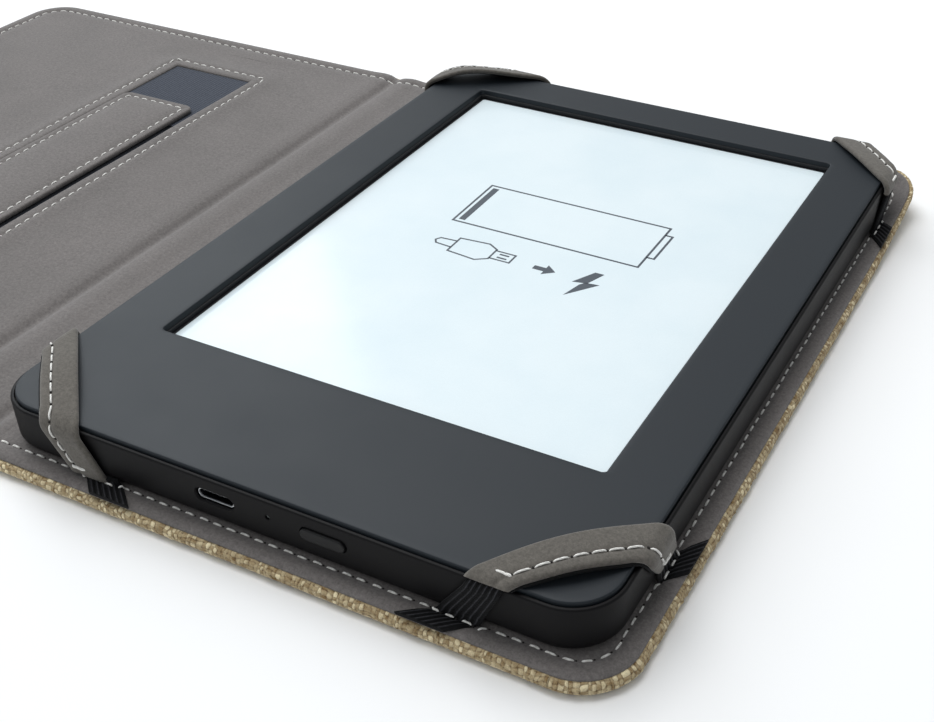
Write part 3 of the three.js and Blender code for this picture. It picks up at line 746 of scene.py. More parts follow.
def lining_cuts(sign):
    """Where half of the lining is cut into a grid, fine at its hinge and round the window."""
    if sign > 0:
        xs = [BACK_HINGE + cut for cut in LINING_HINGE_CUTS] + list(np.arange(-50, 55, 10.0))
        return xs, list(np.arange(-75, 76, 7.5))
    xs = [FRONT_HINGE + cut for cut in LINING_HINGE_CUTS]
    xs += [WINDOW_LOW[0] - c for c in WINDOW_RINGS] + [WINDOW_HIGH[0] + c for c in WINDOW_RINGS]
    xs += list(np.arange(-200, -152, 8.0)) + [-105, -99]
    ys = sorted({-WINDOW_HIGH[1] - c for c in WINDOW_RINGS} | {WINDOW_HIGH[1] + c for c in WINDOW_RINGS})
    return xs, ys + list(np.arange(-60, 61, 7.5))


def cut_window(obj):
    """Takes the faces inside the hand strap's window out of the flat lining."""
    bm = bmesh.new()
    bm.from_mesh(obj.data)
    centres = [(f, f.calc_center_median() / MM) for f in bm.faces]
    hole = [f for f, c in centres if outside_window(c.x, c.y) < 0]
    bmesh.ops.delete(bm, geom=hole, context="FACES")
    bm.to_mesh(obj.data)
    bm.free()


def make_lining():
    """The suede inside, in two pieces that meet in the middle of the spine."""
    low, high = COVER_LOW[:2] + LINING_INSET, COVER_HIGH[:2] - LINING_INSET
    outline = fine_outline(low, high, COVER_RADIUS - LINING_INSET, 0.75)
    points, faces = loft([outline.at(inset, 0) for inset in LINING_RINGS], first_cap=False)
    for side, sign in SIDES.items():
        flat = piece("flat", points, faces, SUEDE, "suede_lining")
        sliced(flat, *lining_cuts(sign), keep=(SPINE_MIDDLE, sign), fill=False)
        if sign < 0:
            cut_window(flat)
        closed = plate(flat, lining_height, lining_underside)
        bpy.data.objects.remove(flat)
        obj = piece(f"lining_{side}", *closed, SUEDE, "suede_lining", sharp=50)
        bend_with_cover(obj)
        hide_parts(*(("back_lining",) if sign > 0 else ("spine_lining", "front_lining")))


# Stitching.


def unit(vectors):
    """The vectors, each with a length of 1."""
    return vectors / np.linalg.norm(vectors, axis=-1, keepdims=True)


def stitches(name, place, spans, radius, material, rise=0.75, sideways=None):
    """Thread stitches along a line, their middles raised and their ends sunk by multiples of their radius.

    place gives points and normals at distances along the line, and spans are the stitches' starts and ends.
    """
    sink = 1.2
    spans = np.asarray(spans, float)
    count, rings, around = len(spans), 8, 7
    t = np.linspace(0, 1, rings)
    along = spans[:, :1] + (spans[:, 1:] - spans[:, :1]) * t
    points, normals = (values.reshape(count, rings, 3) for values in place(along.ravel()))
    side = unit(np.cross(unit(np.gradient(points, axis=1)), normals))
    if sideways is not None:
        points = points + side * sideways[:, None, None]
    lift = radius * (rise - (rise + sink) * np.abs(2 * t - 1) ** 4)
    girth = radius * np.sqrt(np.clip(1 - 0.75 * np.abs(2 * t - 1) ** 6, 0.05, 1))
    angle = np.arange(around) * 2 * math.pi / around
    centre = points + normals * lift[None, :, None]
    ring = centre[:, :, None] + normals[:, :, None] * (np.cos(angle) * girth[:, None])[None, ..., None]
    ring = ring + side[:, :, None] * (np.sin(angle) * girth[:, None])[None, ..., None]
    one = ring_faces(rings, around)
    faces = [[v + s * rings * around for v in face] for s in range(count) for face in one]
    weave = np.stack(np.broadcast_arrays(along[:, :, None], (angle * radius)[None, None, :], 0.0), -1)
    points, weave = ring.reshape(-1, 3), weave.reshape(-1, 3)
    return piece(name, points, faces, material, "suede_lining", weave=weave, sharp=80)


def even_spans(length, pitch=STITCH_PITCH, stitch=2.0, start=0.0):
    """Stitches of nearly equal length along a line, with a hand-fed machine's small errors."""
    count = max(1, round(length / pitch))
    starts = start + np.arange(count) * length / count + rng.uniform(-0.12, 0.12, count)
    return np.column_stack([starts, starts + stitch + rng.uniform(-0.18, 0.18, count)])


def line_place(line, height):
    """A place function along a polyline on the cover, at the height given as a function of x and y."""
    run = np.concatenate([[0], np.cumsum(np.linalg.norm(np.diff(line, axis=0), axis=1))])

    def place(t):
        t = t % run[-1]
        x, y = np.interp(t, run, line[:, 0]), np.interp(t, run, line[:, 1])
        up = np.column_stack([0 * x, 0 * x, 0 * x + 1])
        return np.column_stack([x, y, height(x, y)]), up

    return place, run[-1]


def closed_line(outline, inset):
    """An outline's ring that ends where it starts."""
    ring = outline.ring(inset)
    return np.vstack([ring, ring[:1]])


def make_cover_stitching():
    """The white seam round the cover, which holds down elastics that it crosses, and the window's seam."""
    outline = fine_outline(COVER_LOW, COVER_HIGH, COVER_RADIUS, 0.8)
    line = closed_line(outline, STITCH_INSET)
    over = over_elastics(line[:, 0], line[:, 1]) > lining_height(line[:, 0], line[:, 1]) + 0.1
    line = np.where(over[:, None], closed_line(outline, ELASTIC_STITCH_INSET), line)
    place, length = line_place(line, over_elastics)
    spans = even_spans(length)
    middle = place(spans.mean(1))[0][:, 0]
    drift = rng.uniform(-0.1, 0.1, len(spans))
    for side, sign in SIDES.items():
        mine = (middle - SPINE_MIDDLE) * sign > 0
        name, aside = f"edge_stitching_{side}", drift[mine]
        thread = stitches(name, place, spans[mine], 0.2, THREAD, sideways=aside)
        bend_with_cover(thread)
        # Painted shade: a dark spot sunk at each stitch's end, for the shadow in its needle hole.
        name, ends = f"edge_hole_shades_{side}", spans[mine, 1]
        gaps = np.column_stack([ends - 0.05, ends + 0.4])
        hole_shades = stitches(name, place, gaps, 0.25, HOLE_SHADE, rise=-0.4)
        bend_with_cover(hole_shades)
    window = fine_outline(WINDOW_LOW - WINDOW_STITCH, WINDOW_HIGH + WINDOW_STITCH, 1.0, 0.7)
    place, length = line_place(closed_line(window, 0), lining_height)
    obj = stitches("window_stitching", place, even_spans(length), 0.19, THREAD)
    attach(obj, "front_cover")


# The hand strap and what shows in its window.

PAD_LOW, PAD_HIGH = cad_box("hand_strap")
PAD_RADIUS = 2.5
PAD_DOME = 0.12
PAD_SEAM = 2.1


def inset_in_pad(x, y):
    """How far inside the hand strap's sides and ends a place is."""
    return np.minimum(x - PAD_LOW[0], PAD_HIGH[0] - x), np.minimum(y - PAD_LOW[1], PAD_HIGH[1] - y)


def pad_crown(x, y):
    """The hand strap's top: domed a little, with a channel where it is stitched."""
    dx, dy = inset_in_pad(x, y)
    crown = 0.35 * eased(dx / 9) * eased(dy / 9) + 0.05 * ripple(x * 2, y * 2)
    return PAD_HIGH[2] - PAD_DOME + crown - 0.25 * bump_at(np.minimum(dx, dy), PAD_SEAM, 0.5)


def make_hand_strap():
    """The hand strap's suede pad and its seam."""
    outline = fine_outline(PAD_LOW, PAD_HIGH, PAD_RADIUS, 0.6)
    z0, z1 = PAD_LOW[2], PAD_HIGH[2] - PAD_DOME
    half = (z1 - z0) / 2
    angles = np.linspace(0, math.pi, 9)[:-1]
    edge = [(half * (1 - math.sin(a)) * 0.8, z0 + half - half * math.cos(a)) for a in angles]
    rings = [outline.at(inset, z) for inset, z in edge]
    top_rings = (0.55, 1.0, 1.4, 1.7, 1.9, PAD_SEAM, 2.3)
    for inset in top_rings:
        ring = outline.at(inset, z1)
        ring[:, 2] = pad_crown(ring[:, 0], ring[:, 1])
        rings.append(ring)
    obj = piece("hand_strap_pad", *loft(rings), SUEDE, "suede_lining")
    border = 3
    xs = np.linspace(PAD_LOW[0] + border, PAD_HIGH[0] - border, 9)
    sliced(obj, xs, np.linspace(PAD_LOW[1] + border, PAD_HIGH[1] - border, 24))
    here = points_of(obj)
    inside = (here[:, 2] > z0 + half) & (np.minimum(*inset_in_pad(here[:, 0], here[:, 1])) > top_rings[-1])
    here[inside, 2] = pad_crown(here[inside, 0], here[inside, 1])
    reshape(obj, here)
    smooth(obj, 50)
    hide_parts("hand_strap")
    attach(obj, "front_cover")
    seam = fine_outline(PAD_LOW + PAD_SEAM, PAD_HIGH - PAD_SEAM, 1.0, 0.6)
    place, length = line_place(closed_line(seam, 0), pad_crown)
    thread = stitches("hand_strap_stitching", place, even_spans(length), 0.19, THREAD)
    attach(thread, "front_cover")


def make_window():
    """The navy cloth behind the hand strap, and the webbing that holds the strap's ends."""
    low, high = cad_box("window_backing")
    cloth = ribbed_sheet("window_cloth", low, high, LINING_BOTTOM, 0.2, 0.04, 1.6, WINDOW_CLOTH)
    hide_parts("window_backing")
    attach(cloth, "front_cover")
    for end in ("top", "bottom"):
        low, high = cad_box(f"strap_elastic_{end}")
        web = ribbed_sheet(f"strap_webbing_{end}", low, high, low[2], 0.42, 0.12, 0.9, WEBBING)
        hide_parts(f"strap_elastic_{end}")
        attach(web, "front_cover")


def ribbed_sheet(name, low, high, bottom, thickness, relief, pitch, material):
    """A thin closed sheet with cords along y on its upper face."""
    columns = int(round((high[0] - low[0]) / pitch * 6))
    rows = max(4, int((high[1] - low[1]) / 3))
    gx, gy = np.meshgrid(np.linspace(low[0], high[0], columns + 1), np.linspace(low[1], high[1], rows + 1))
    crest = bottom + thickness - relief / 2
    top = crest + relief / 2 * np.cos(2 * math.pi * (gx - low[0]) / pitch)
    x, y = gx.ravel(), gy.ravel()
    points = np.vstack([np.column_stack([x, y, top.ravel()]), np.column_stack([x, y, 0 * x + bottom])])
    at = np.arange(x.size).reshape(gx.shape)
    corners = at[:-1, :-1], at[:-1, 1:], at[1:, 1:], at[1:, :-1]
    quads = np.column_stack([corner.ravel() for corner in corners])
    rim = np.concatenate([at[0, :], at[1:, -1], at[-1, -2::-1], at[-2:0:-1, 0]])
    after = np.roll(rim, -1)
    sides = np.column_stack([rim + x.size, after + x.size, after, rim])
    faces = quads.tolist() + (quads[:, ::-1] + x.size).tolist() + sides.tolist()
    weave = np.vstack([np.column_stack([y, x - low[0], 0 * x])] * 2)
    return piece(name, points, faces, material, "navy_webbing", weave=weave, sharp=60)


# The corner straps: a suede band crosses each corner of the face, and black elastics go from its ends down
# the wall and out over the lining.

BAND_THICKNESS = 1.2
BAND_SEAM = -1.3
BAND_PITCH = 3.3
BAND_STITCH = 2.85
SEAM_START = 2.4
SEAM_END = 2.6
# How far the black backing is shifted, so that it juts out past the band's corner-side edge as a painted
# shade line.
BACKING_SHADE_LAP = 0.4
BACKING_DROP = 0.13
ELASTIC_WIDTH = 6.0
ELASTIC_THICKNESS = 0.8
STRAP_STANDOFF = 0.15
BEND_INSET = 1.2
STRAP_BEND = 2.6
STRAP_LANDING = 1.0
STEEPNESS = math.radians(93)
CORNERS = {
    "br": {
        "way": (1, -1), "at_end": 18.6, "at_side": 18.6, "width": 7.2, "taper": 0.26, "aside": 0.0,
        "arch": 1.6, "tilt": 0.4, "end_drop": 0.2, "side_drop": 5.0,
    },
    "bl": {
        "way": (-1, -1), "at_end": 17.4, "at_side": 18.6, "width": 6.5, "taper": 0.1, "aside": 2.4,
        "arch": 0.9, "tilt": 0.2, "end_drop": 9.0, "side_drop": 4.6,
    },
    "tr": {
        "way": (1, 1), "at_end": 12.8, "at_side": 13.4, "width": 7.0, "taper": 0.2, "aside": 0.0,
        "arch": 0.7, "tilt": 0.7, "end_drop": 3.2, "side_drop": 1.6,
    },
    "tl": {
        "way": (-1, 1), "at_end": 19.8, "at_side": 12.6, "width": 6.8, "taper": 0.2, "aside": 0.0,
        "arch": 2.6, "tilt": 1.6, "end_drop": 3.6, "side_drop": 4.2,
    },
}


def over_edge(s, landing):
    """How far out and down a strap is, and its angle, at a run of s past the e-reader's edge.

    It starts to bend a little inside the edge.
    """
    s = s + BEND_INSET
    drop = READER_TOP - LINING_TOP
    bent = (STRAP_BEND + landing) * (1 - math.cos(STEEPNESS)) / STEEPNESS
    hang = (drop - bent) / math.sin(STEEPNESS)
    s = np.maximum(s, 0)
    first = np.minimum(s, STRAP_BEND)
    second = np.clip(s - STRAP_BEND, 0, hang)
    third = np.clip(s - STRAP_BEND - hang, 0, landing)
    last = np.maximum(s - STRAP_BEND - hang - landing, 0)
    angle = STEEPNESS * first / STRAP_BEND
    out = STRAP_BEND / STEEPNESS * np.sin(angle) + second * math.cos(STEEPNESS) + last
    down = STRAP_BEND / STEEPNESS * (1 - np.cos(angle)) + second * math.sin(STEEPNESS)
    if landing > 0:
        left = STEEPNESS * (1 - third / landing)
        out = out + landing / STEEPNESS * (math.sin(STEEPNESS) - np.sin(left))
        down = down + landing / STEEPNESS * (np.cos(left) - math.cos(STEEPNESS))
        angle = np.where(third > 0, left, angle)
    else:
        angle = np.where(last > 0, 0, angle)
    return out - np.minimum(s, BEND_INSET), down, angle


def flat_run():
    """The run past the edge at which a strap lies flat, less how far out it then is."""
    far = 40.0
    return far - over_edge(np.array([far]), STRAP_LANDING)[0][0]


def slip(s):
    """How far a strap is brought back towards the corner, as it hangs steeper than it crosses the face."""
    wall, on_wall, past_wall = 9.5, 0.41, 0.2
    return on_wall * np.clip(s, 0, wall) - past_wall * np.maximum(s - wall, 0)


def strap_point(corner, from_side, from_end, lift, arch=0.0):
    """A point of a corner strap, from its distances in from the side edge and the top or bottom edge."""
    way = corner["way"]
    a = from_side - slip(-from_end)
    b = from_end - slip(-from_side)
    side_out, side_down, side_angle = over_edge(-a, STRAP_LANDING if way[0] > 0 else 0)
    end_out, end_down, end_angle = over_edge(-b, STRAP_LANDING)
    out_x = side_out - np.maximum(a, 0) + np.sin(side_angle) * lift
    out_y = end_out - np.maximum(b, 0) + np.sin(end_angle) * lift
    on_face = (a > 0) & (b > 0)
    part = np.where(on_face, a / np.where(on_face, a + b, 1), 0)
    rise = arch * np.maximum(np.sin(math.pi * part), 0) ** 1.4
    x = way[0] * (READER_HALF[0] + out_x) + READER_MIDDLE[0]
    y = way[1] * (READER_HALF[1] + out_y) + READER_MIDDLE[1]
    z = READER_TOP + STRAP_STANDOFF + rise - side_down - end_down + np.cos(side_angle + end_angle) * lift
    return np.stack([x, y, z], -1)


def section(width, thickness, radius, top_points, shape):
    """A strip's closed cross-section: places across it and heights, with a shaped upper face."""
    arc = np.linspace(0, math.pi / 2, 5)
    half = width / 2
    r = min(radius, thickness / 2)
    right = [(half - r + r * math.sin(a), r - r * math.cos(a)) for a in arc]
    right += [(half - r + r * math.cos(a), thickness - r + r * math.sin(a)) for a in arc]
    top = [(x, thickness) for x in np.linspace(half - r, r - half, top_points)[1:-1]]
    left = [(-x, z) for x, z in reversed(right)]
    loop = np.array(right + top + left)
    height = loop[:, 1] + np.where(loop[:, 1] > thickness / 2, shape(loop[:, 0]), 0)
    return loop[:, 0], height


def strip(name, grid, weave, material, slot, flip):
    """A strap from a grid of points: rows along it, and each row a closed cross-section."""
    points, faces = loft(grid)
    if flip:
        faces = [face[::-1] for face in faces]
    weave = np.stack(np.broadcast_arrays(*weave), -1).reshape(-1, 3)
    return piece(name, points, faces, material, slot, weave=weave, sharp=60)


def band_length(corner):
    return math.hypot(corner["at_end"], corner["at_side"])


def band_extent(corner):
    """How far the band goes from its middle towards the top or bottom edge, and towards the side edge."""
    half, length = band_length(corner) / 2, band_length(corner)
    to_end = half + corner["end_drop"] * length / corner["at_side"]
    return to_end, half + corner["side_drop"] * length / corner["at_end"]


def band_line(corner, t, across):
    """Distances in from the side and end edges, at a part t of the way along the band from its side end.

    Its ends are cut parallel to the edges of the face.
    """
    near, far, length = corner["at_end"], corner["at_side"], band_length(corner)
    to_end, to_side = band_extent(corner)
    across = across * (1 - corner["taper"] * (2 * t - 1) ** 2)
    to_end = to_end + across * near / far
    to_side = to_side + across * far / near
    along = (to_end + to_side) * t - to_side
    from_side = near / 2 + (along * near + across * far) / length
    from_end = far / 2 + (across * near - along * far) / length
    return from_side, from_end


def make_corner_band(key):
    """A corner's suede band with its black backing, which is partly a real elastic layer and partly a painted
    shade line, its seam and the short stitches at the seam's ends.
    """
    corner = CORNERS[key]
    width = corner["width"]
    length = sum(band_extent(corner))
    flip = corner["way"][0] * corner["way"][1] > 0

    def crowned(x):
        return -0.22 * bump_at(x, BAND_SEAM, 0.5) + 0.1 * np.cos(x / width * math.pi) - 0.06

    def point_at(t, over, lift):
        bow = corner["arch"] + corner["tilt"] * (over / width - 0.5) * (1 - (2 * t - 1) ** 2)
        return strap_point(corner, *band_line(corner, t, over), lift, bow)

    t = np.linspace(0, 1, 90)[:, None]
    across, height = section(width, BAND_THICKNESS, 0.6, 26, crowned)
    grid = point_at(t, across, height)
    band = strip(f"band_{key}", grid, (t * length, across, 0.0), BAND_SUEDE, "suede_lining", flip)
    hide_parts(f"corner_band_{key}")
    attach(band, "root")
    # The black backing is partly the real elastic under the band and partly painted shade: it juts out past
    # the band's corner-side edge as a dark shadow line.
    across, height = section(width - 0.2, 0.5, 0.2, 14, lambda x: 0 * x)
    grid = point_at(t, across - BACKING_SHADE_LAP, height - BACKING_DROP)
    backing_and_shade = strip(f"band_backing_and_shade_{key}", grid, (t * length, across, 0.0), ELASTIC, "black_elastic", flip)
    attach(backing_and_shade, "root")

    def on_band(place):
        """Points on the band's upper face and the directions out of it, from a function of a lift."""
        low, high = (place(BAND_THICKNESS - 0.12 + step) for step in (0, 1))
        return low, unit(high - low)

    def seam(run):
        return on_band(lambda lift: point_at(run / length, np.full(len(run), BAND_SEAM), lift))

    def tack(run, sense):
        """A place function that goes in from the seam's end, parallel to the band's cut end."""
        from_side, from_end = band_line(corner, run / length, BAND_SEAM)
        step_side, step_end = (1, 0) if sense > 0 else (0, 1)
        return lambda t: on_band(
            lambda lift: strap_point(corner, from_side + step_side * t, from_end + step_end * t, lift)
        )

    first, last = SEAM_START, length - SEAM_END
    spans = even_spans(last - first, BAND_PITCH, BAND_STITCH, first)
    thread = stitches(f"band_stitching_{key}", seam, spans, 0.18, THREAD)
    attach(thread, "root")
    # Painted shade: dark spots for the shadow in each needle hole of the band's seam and tacks.
    hole_shades = [(seam, np.column_stack([spans[:, 1] - 0.03, spans[:, 1] + 0.42]))]
    for number, (run, sense) in enumerate(((first - 0.5, -1), (last + 0.3, 1))):
        place = tack(run, sense)
        strands = [(-0.6, 1.0), (0.1, 2.7)]
        ends = stitches(f"band_tack_{key}_{number + 1}", place, strands, 0.27, THREAD)
        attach(ends, "root")
        hole_shades.append((place, [(2.65, 3.3)]))
    for number, (place, spots) in enumerate(hole_shades):
        name = f"band_hole_shades_{key}_{number + 1}"
        painted_shade = stitches(name, place, spots, 0.26, HOLE_SHADE, rise=-0.35)
        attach(painted_shade, "root")


RIBS = 6
RIB_DEPTH = 0.26
ELASTIC_TUCK = 0.8
ELASTIC_END = 13.3
SPINE_SIDE_END = 10.2
ELASTIC_MOUTH = 5.8
ELASTIC_SPREAD = 3.0


def rib_height(x):
    """Cords along the elastic: rounded ribs with narrow valleys between them."""
    phase = x / (ELASTIC_WIDTH - 0.5) * RIBS + RIBS / 2
    return RIB_DEPTH * (np.abs(np.sin(math.pi * phase)) - 1)


def elastic_run(corner, sense):
    """The runs past the edge at which an elastic leaves its band and ends."""
    if sense > 0:
        return corner["end_drop"] - ELASTIC_TUCK, ELASTIC_END
    return corner["side_drop"] - ELASTIC_TUCK, ELASTIC_END if corner["way"][0] > 0 else SPINE_SIDE_END


def elastic_line(corner, sense, past, across):
    """Distances in from the side and end edges, on an elastic at a run past the edge.

    It widens as it goes.
    """
    near, far = (corner["at_end"], corner["at_side"])[::sense]
    start, stop = elastic_run(corner, sense)
    part = (past - start) / (stop - start)
    shift = corner["aside"] if sense > 0 else 0.0
    wide = ELASTIC_MOUTH + shift + (ELASTIC_SPREAD - shift) * part
    aside = near + past * near / far + across / ELASTIC_WIDTH * wide + shift
    return (aside, -past) if sense > 0 else (-past, aside)


def make_corner_elastics(key):
    corner = CORNERS[key]
    way = corner["way"]
    across, height = section(ELASTIC_WIDTH, ELASTIC_THICKNESS, 0.3, RIBS * 8 + 1, rib_height)
    # The crest, from 0 to 1, marks the rib tops, where the elastic's material paints a highlight.
    crest = np.clip(1 + rib_height(across) / RIB_DEPTH, 0, 1)
    names = {1: "top" if way[1] > 0 else "bottom", -1: "side"}
    for sense, name in names.items():
        start, stop = elastic_run(corner, sense)
        past = np.linspace(start, stop, 46)[:, None] + 0 * across
        settle = eased((past - 1.5) / 7)
        lift = (BAND_THICKNESS - ELASTIC_THICKNESS) / 2 * (1 - settle) - 0.1 * settle + height
        grid = strap_point(corner, *elastic_line(corner, sense, past, across), lift)
        seam = inset_in_cover(grid[..., 0], grid[..., 1])
        grid[..., 2] -= 0.3 * bump_at(seam, ELASTIC_STITCH_INSET, 0.6) * (grid[..., 2] < LINING_TOP + 2)
        grid[..., 2] += curl(grid[..., 0], grid[..., 1]) * settle
        flip = (way[0] * way[1] > 0) != (sense < 0)
        strap = strip(f"elastic_{key}_{name}", grid, (past, across, crest), ELASTIC, "black_elastic", flip)
        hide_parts(f"strap_elastic_{key}_{name}")
        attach(strap, "root")


def over_elastics(x, y):
    """The height that the cover's edge stitches lie on: the lining, or an elastic that they hold down."""
    z = lining_height(x, y)
    offset = flat_run()
    reach = ELASTIC_WIDTH / 2 + 0.1
    pressed = LINING_TOP + ELASTIC_THICKNESS - 0.35
    for corner in CORNERS.values():
        way = corner["way"]
        out_x = way[0] * (x - READER_MIDDLE[0]) - READER_HALF[0]
        out_y = way[1] * (y - READER_MIDDLE[1]) - READER_HALF[1]
        for sense, out, aside in ((1, out_y, -out_x), (-1, out_x, -out_y)):
            if sense < 0 and way[0] < 0:
                continue
            past = np.maximum(out, 0) + offset
            near, far = (elastic_line(corner, sense, past, over)[::sense][0] for over in (-reach, reach))
            held = (out > -0.5) & (aside > near - slip(past)) & (aside < far - slip(past))
            z = np.where(held, pressed + curl(x, y), z)
    return z


# The e-reader's housing.


TRAY_FLOOR = READER_LOW[2] + 1.4
WALL_CLEARANCE = 0.15
CUT_DEPTH = 3.0
FRAME_BOSS_TOP = 8.9
BOARD_BOSS_TOP = 6.5
BUTTON_FLANGE = np.array([1.0, 0, 0.2])
BUTTON_LOW = cad_box("power_button")[0] + BUTTON_FLANGE
BUTTON_HIGH = cad_box("power_button")[1] - BUTTON_FLANGE


def on_bottom_wall(low, high, radius, profile, arc):
    """A solid that points out of the bottom wall: rings of a pill in x and z, at (inset, distance out)."""
    outline = Outline((low[0], low[2]), (high[0], high[2]), radius, arc, (6, 1))
    rings = []
    for inset, out in profile:
        ring = outline.ring(inset)
        rings.append(np.column_stack([ring[:, 0], np.full(len(ring), READER_LOW[1] - out), ring[:, 1]]))
    return rings


def cut_away(obj, rings):
    """Takes a lofted solid out of an object."""
    tool = piece("cutter", *loft(rings), SHELL, "shell_plastic")
    modifier = obj.modifiers.new("cut", "BOOLEAN")
    modifier.object, modifier.operation, modifier.solver = tool, "DIFFERENCE", "EXACT"
    evaluated = obj.evaluated_get(bpy.context.evaluated_depsgraph_get())
    mesh = bpy.data.meshes.new_from_object(evaluated)
    obj.modifiers.clear()
    obj.data = mesh
    bpy.data.objects.remove(tool)


def tray_rings():
    """The housing's wall and floor: round the outside, over the rim, and down inside."""
    z0, rim = READER_LOW[2], READER_HIGH[2]
    base, edge, wall, chamfer = 2.4, 0.4, 1.6, 0.06
    bed, seam = BEZEL_BOTTOM - 0.05, BEZEL_INSET - BEZEL_SEAM
    quarter = np.linspace(0, math.pi / 2, 8)
    profile = [(base * (1 - math.sin(a)), z0 + base * (1 - math.cos(a))) for a in quarter]
    profile += [(0, z0 + (rim - z0) * 0.5)]
    quarter = np.linspace(0, math.pi / 2, 5)
    profile += [(edge * (1 - math.cos(a)), rim - edge + edge * math.sin(a)) for a in quarter]
    profile += [(seam - chamfer, rim), (seam, rim - chamfer), (seam, bed), (wall, bed), (wall, TRAY_FLOOR)]
    outline = Outline(READER_LOW, READER_HIGH, READER_RADIUS, 14, (40, 54))
    return [outline.at(inset, z) for inset, z in profile]


def make_shell():
    """The rear housing, with the openings in its bottom wall and a boss for each screw."""
    shell = piece("reader_shell", *loft(tray_rings()), SHELL, "shell_plastic", sharp=38)
    grow = np.array([WALL_CLEARANCE, 0, WALL_CLEARANCE])
    usb_low, usb_high = cad_box("usb_shell")
    openings = (
        (usb_low - grow, usb_high + grow, 0.02, 0.25, 0.25, 10),
        (BUTTON_LOW - grow, BUTTON_HIGH + grow, 0.02, 0.1, 0.1, 10),
        (*cad_box("light_pipe"), 0.01, 0.1, 0.12, 6),
    )
    for low, high, slack, depth, flare, arc in openings:
        profile = [(0.0, -CUT_DEPTH), (0.0, -depth), (-flare, 0.02), (-flare, 1.0)]
        cut_away(shell, on_bottom_wall(low, high, (high - low)[2] / 2 - slack, profile, arc))
    points = [points_of(shell)]
    faces = [list(p.vertices) for p in shell.data.polygons]
    bpy.data.objects.remove(shell)
    for name in sorted(frame["nodes"]):
        if "_screw_" in name:
            x, y = (sum(cad_box(name)) / 2)[:2]
            top = FRAME_BOSS_TOP if name.startswith("frame") else BOARD_BOSS_TOP
            boss, boss_faces = loft(boss_rings(x, y, TRAY_FLOOR - 0.02, top), closed=True)
            start = sum(len(p) for p in points)
            faces += [[v + start for v in face] for face in boss_faces]
            points.append(boss)
    shell = piece("reader_shell", np.vstack(points), faces, SHELL, "shell_plastic", sharp=38)
    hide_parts("rear_housing")
    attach(shell, "root")


def boss_rings(x, y, low, high, outer=2.1, inner=1.07, sides=24):
    """Rings of a screw boss, which is a tube between two heights."""
    angle = np.arange(sides) * 2 * math.pi / sides

    def ring(radius, z):
        return np.column_stack([x + radius * np.cos(angle), y + radius * np.sin(angle), np.full(sides, z)])

    return [ring(outer, low), ring(outer, high), ring(inner, high), ring(inner, low)]


def make_bezel():
    """The front frame, with a fine rounded edge inside and out, and its wall below the opening's ledge
    painted near-black as shade.
    """
    arc, sides = 14, (44, 60)
    outer = Outline(READER_LOW, READER_HIGH, READER_RADIUS, arc, sides)
    inner = Outline(SCREEN_LOW, SCREEN_HIGH, SCREEN_RADIUS, arc, sides)
    edge, ledge, skirt, seat = 0.28, DISPLAY_TOP + 1.0, 1.5, DISPLAY_TOP + 0.1
    top, inset = READER_TOP, BEZEL_INSET
    quarter = [(edge * (1 - math.cos(a)), edge * (1 - math.sin(a))) for a in np.linspace(0, math.pi / 2, 4)]
    profile = [(outer, inset, BEZEL_BOTTOM)]
    profile += [(outer, inset + near, top - far) for near, far in quarter]
    profile += [(outer, inset + 1.2, top), (inner, -1.2, top)]
    profile += [(inner, -far, top - near) for near, far in quarter]
    profile += [(inner, 0, ledge), (inner, 0.3, ledge - 0.1), (inner, 0.3, seat)]
    profile += [(inner, -skirt, seat), (inner, -skirt, BEZEL_BOTTOM)]
    points, faces = loft([outline.at(inset, z) for outline, inset, z in profile], closed=True)
    middle = np.array([points[face].mean(0) for face in faces])
    border = skirt + 0.1
    near_screen = (middle[:, :2] > SCREEN_LOW - border) & (middle[:, :2] < SCREEN_HIGH + border)
    # Painted shade: the faces below the opening's ledge, down in the recess, take the near-black material.
    painted_shade = (middle[:, 2] < ledge + 0.02) & near_screen.all(axis=1)
    looks, picked = [FACE, OPENING_WALL_SHADE], painted_shade.astype(int)
    bezel = piece("bezel", points, faces, looks, "bezel_plastic", picked=picked, sharp=38)
    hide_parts("front_bezel")
    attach(bezel, "root")


def make_bottom_edge():
    """The button's cap and the charging socket."""
    proud = READER_LOW[1] - BUTTON_LOW[1]
    radius = (BUTTON_HIGH - BUTTON_LOW)[2] / 2 - 0.01
    profile = [(0, -2.1), (0, proud - 0.22), (0.03, proud - 0.12), (0.12, proud - 0.03)]
    profile += [(0.22, proud), (0.6, proud - 0.03)]
    rings = on_bottom_wall(BUTTON_LOW, BUTTON_HIGH, radius, profile, 12)
    cap = piece("button_cap", *loft(rings), CAP, "shell_plastic", sharp=45)
    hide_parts("power_button")
    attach(cap, "power_button")
    low, high = cad_box("usb_shell")
    mouth, depth, skin = READER_LOW[1] - low[1], READER_LOW[1] - high[1], 0.28
    profile = [(0, depth), (0, mouth - 0.08), (0.08, mouth)]
    profile += [(skin - 0.06, mouth), (skin, mouth - 0.08), (skin, depth + skin)]
    rings = on_bottom_wall(low, high, (high - low)[2] / 2 - 0.02, profile, 12)
    socket = piece("usb_socket", *loft(rings), SOCKET, "steel", sharp=45)
    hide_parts("usb_shell")
    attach(socket, "root")


# The display and the charging symbols printed on it.


def block(x0, y0, x1, y1):
    """A rectangle's corners."""
    return [(x0, y0), (x1, y0), (x1, y1), (x0, y1)]


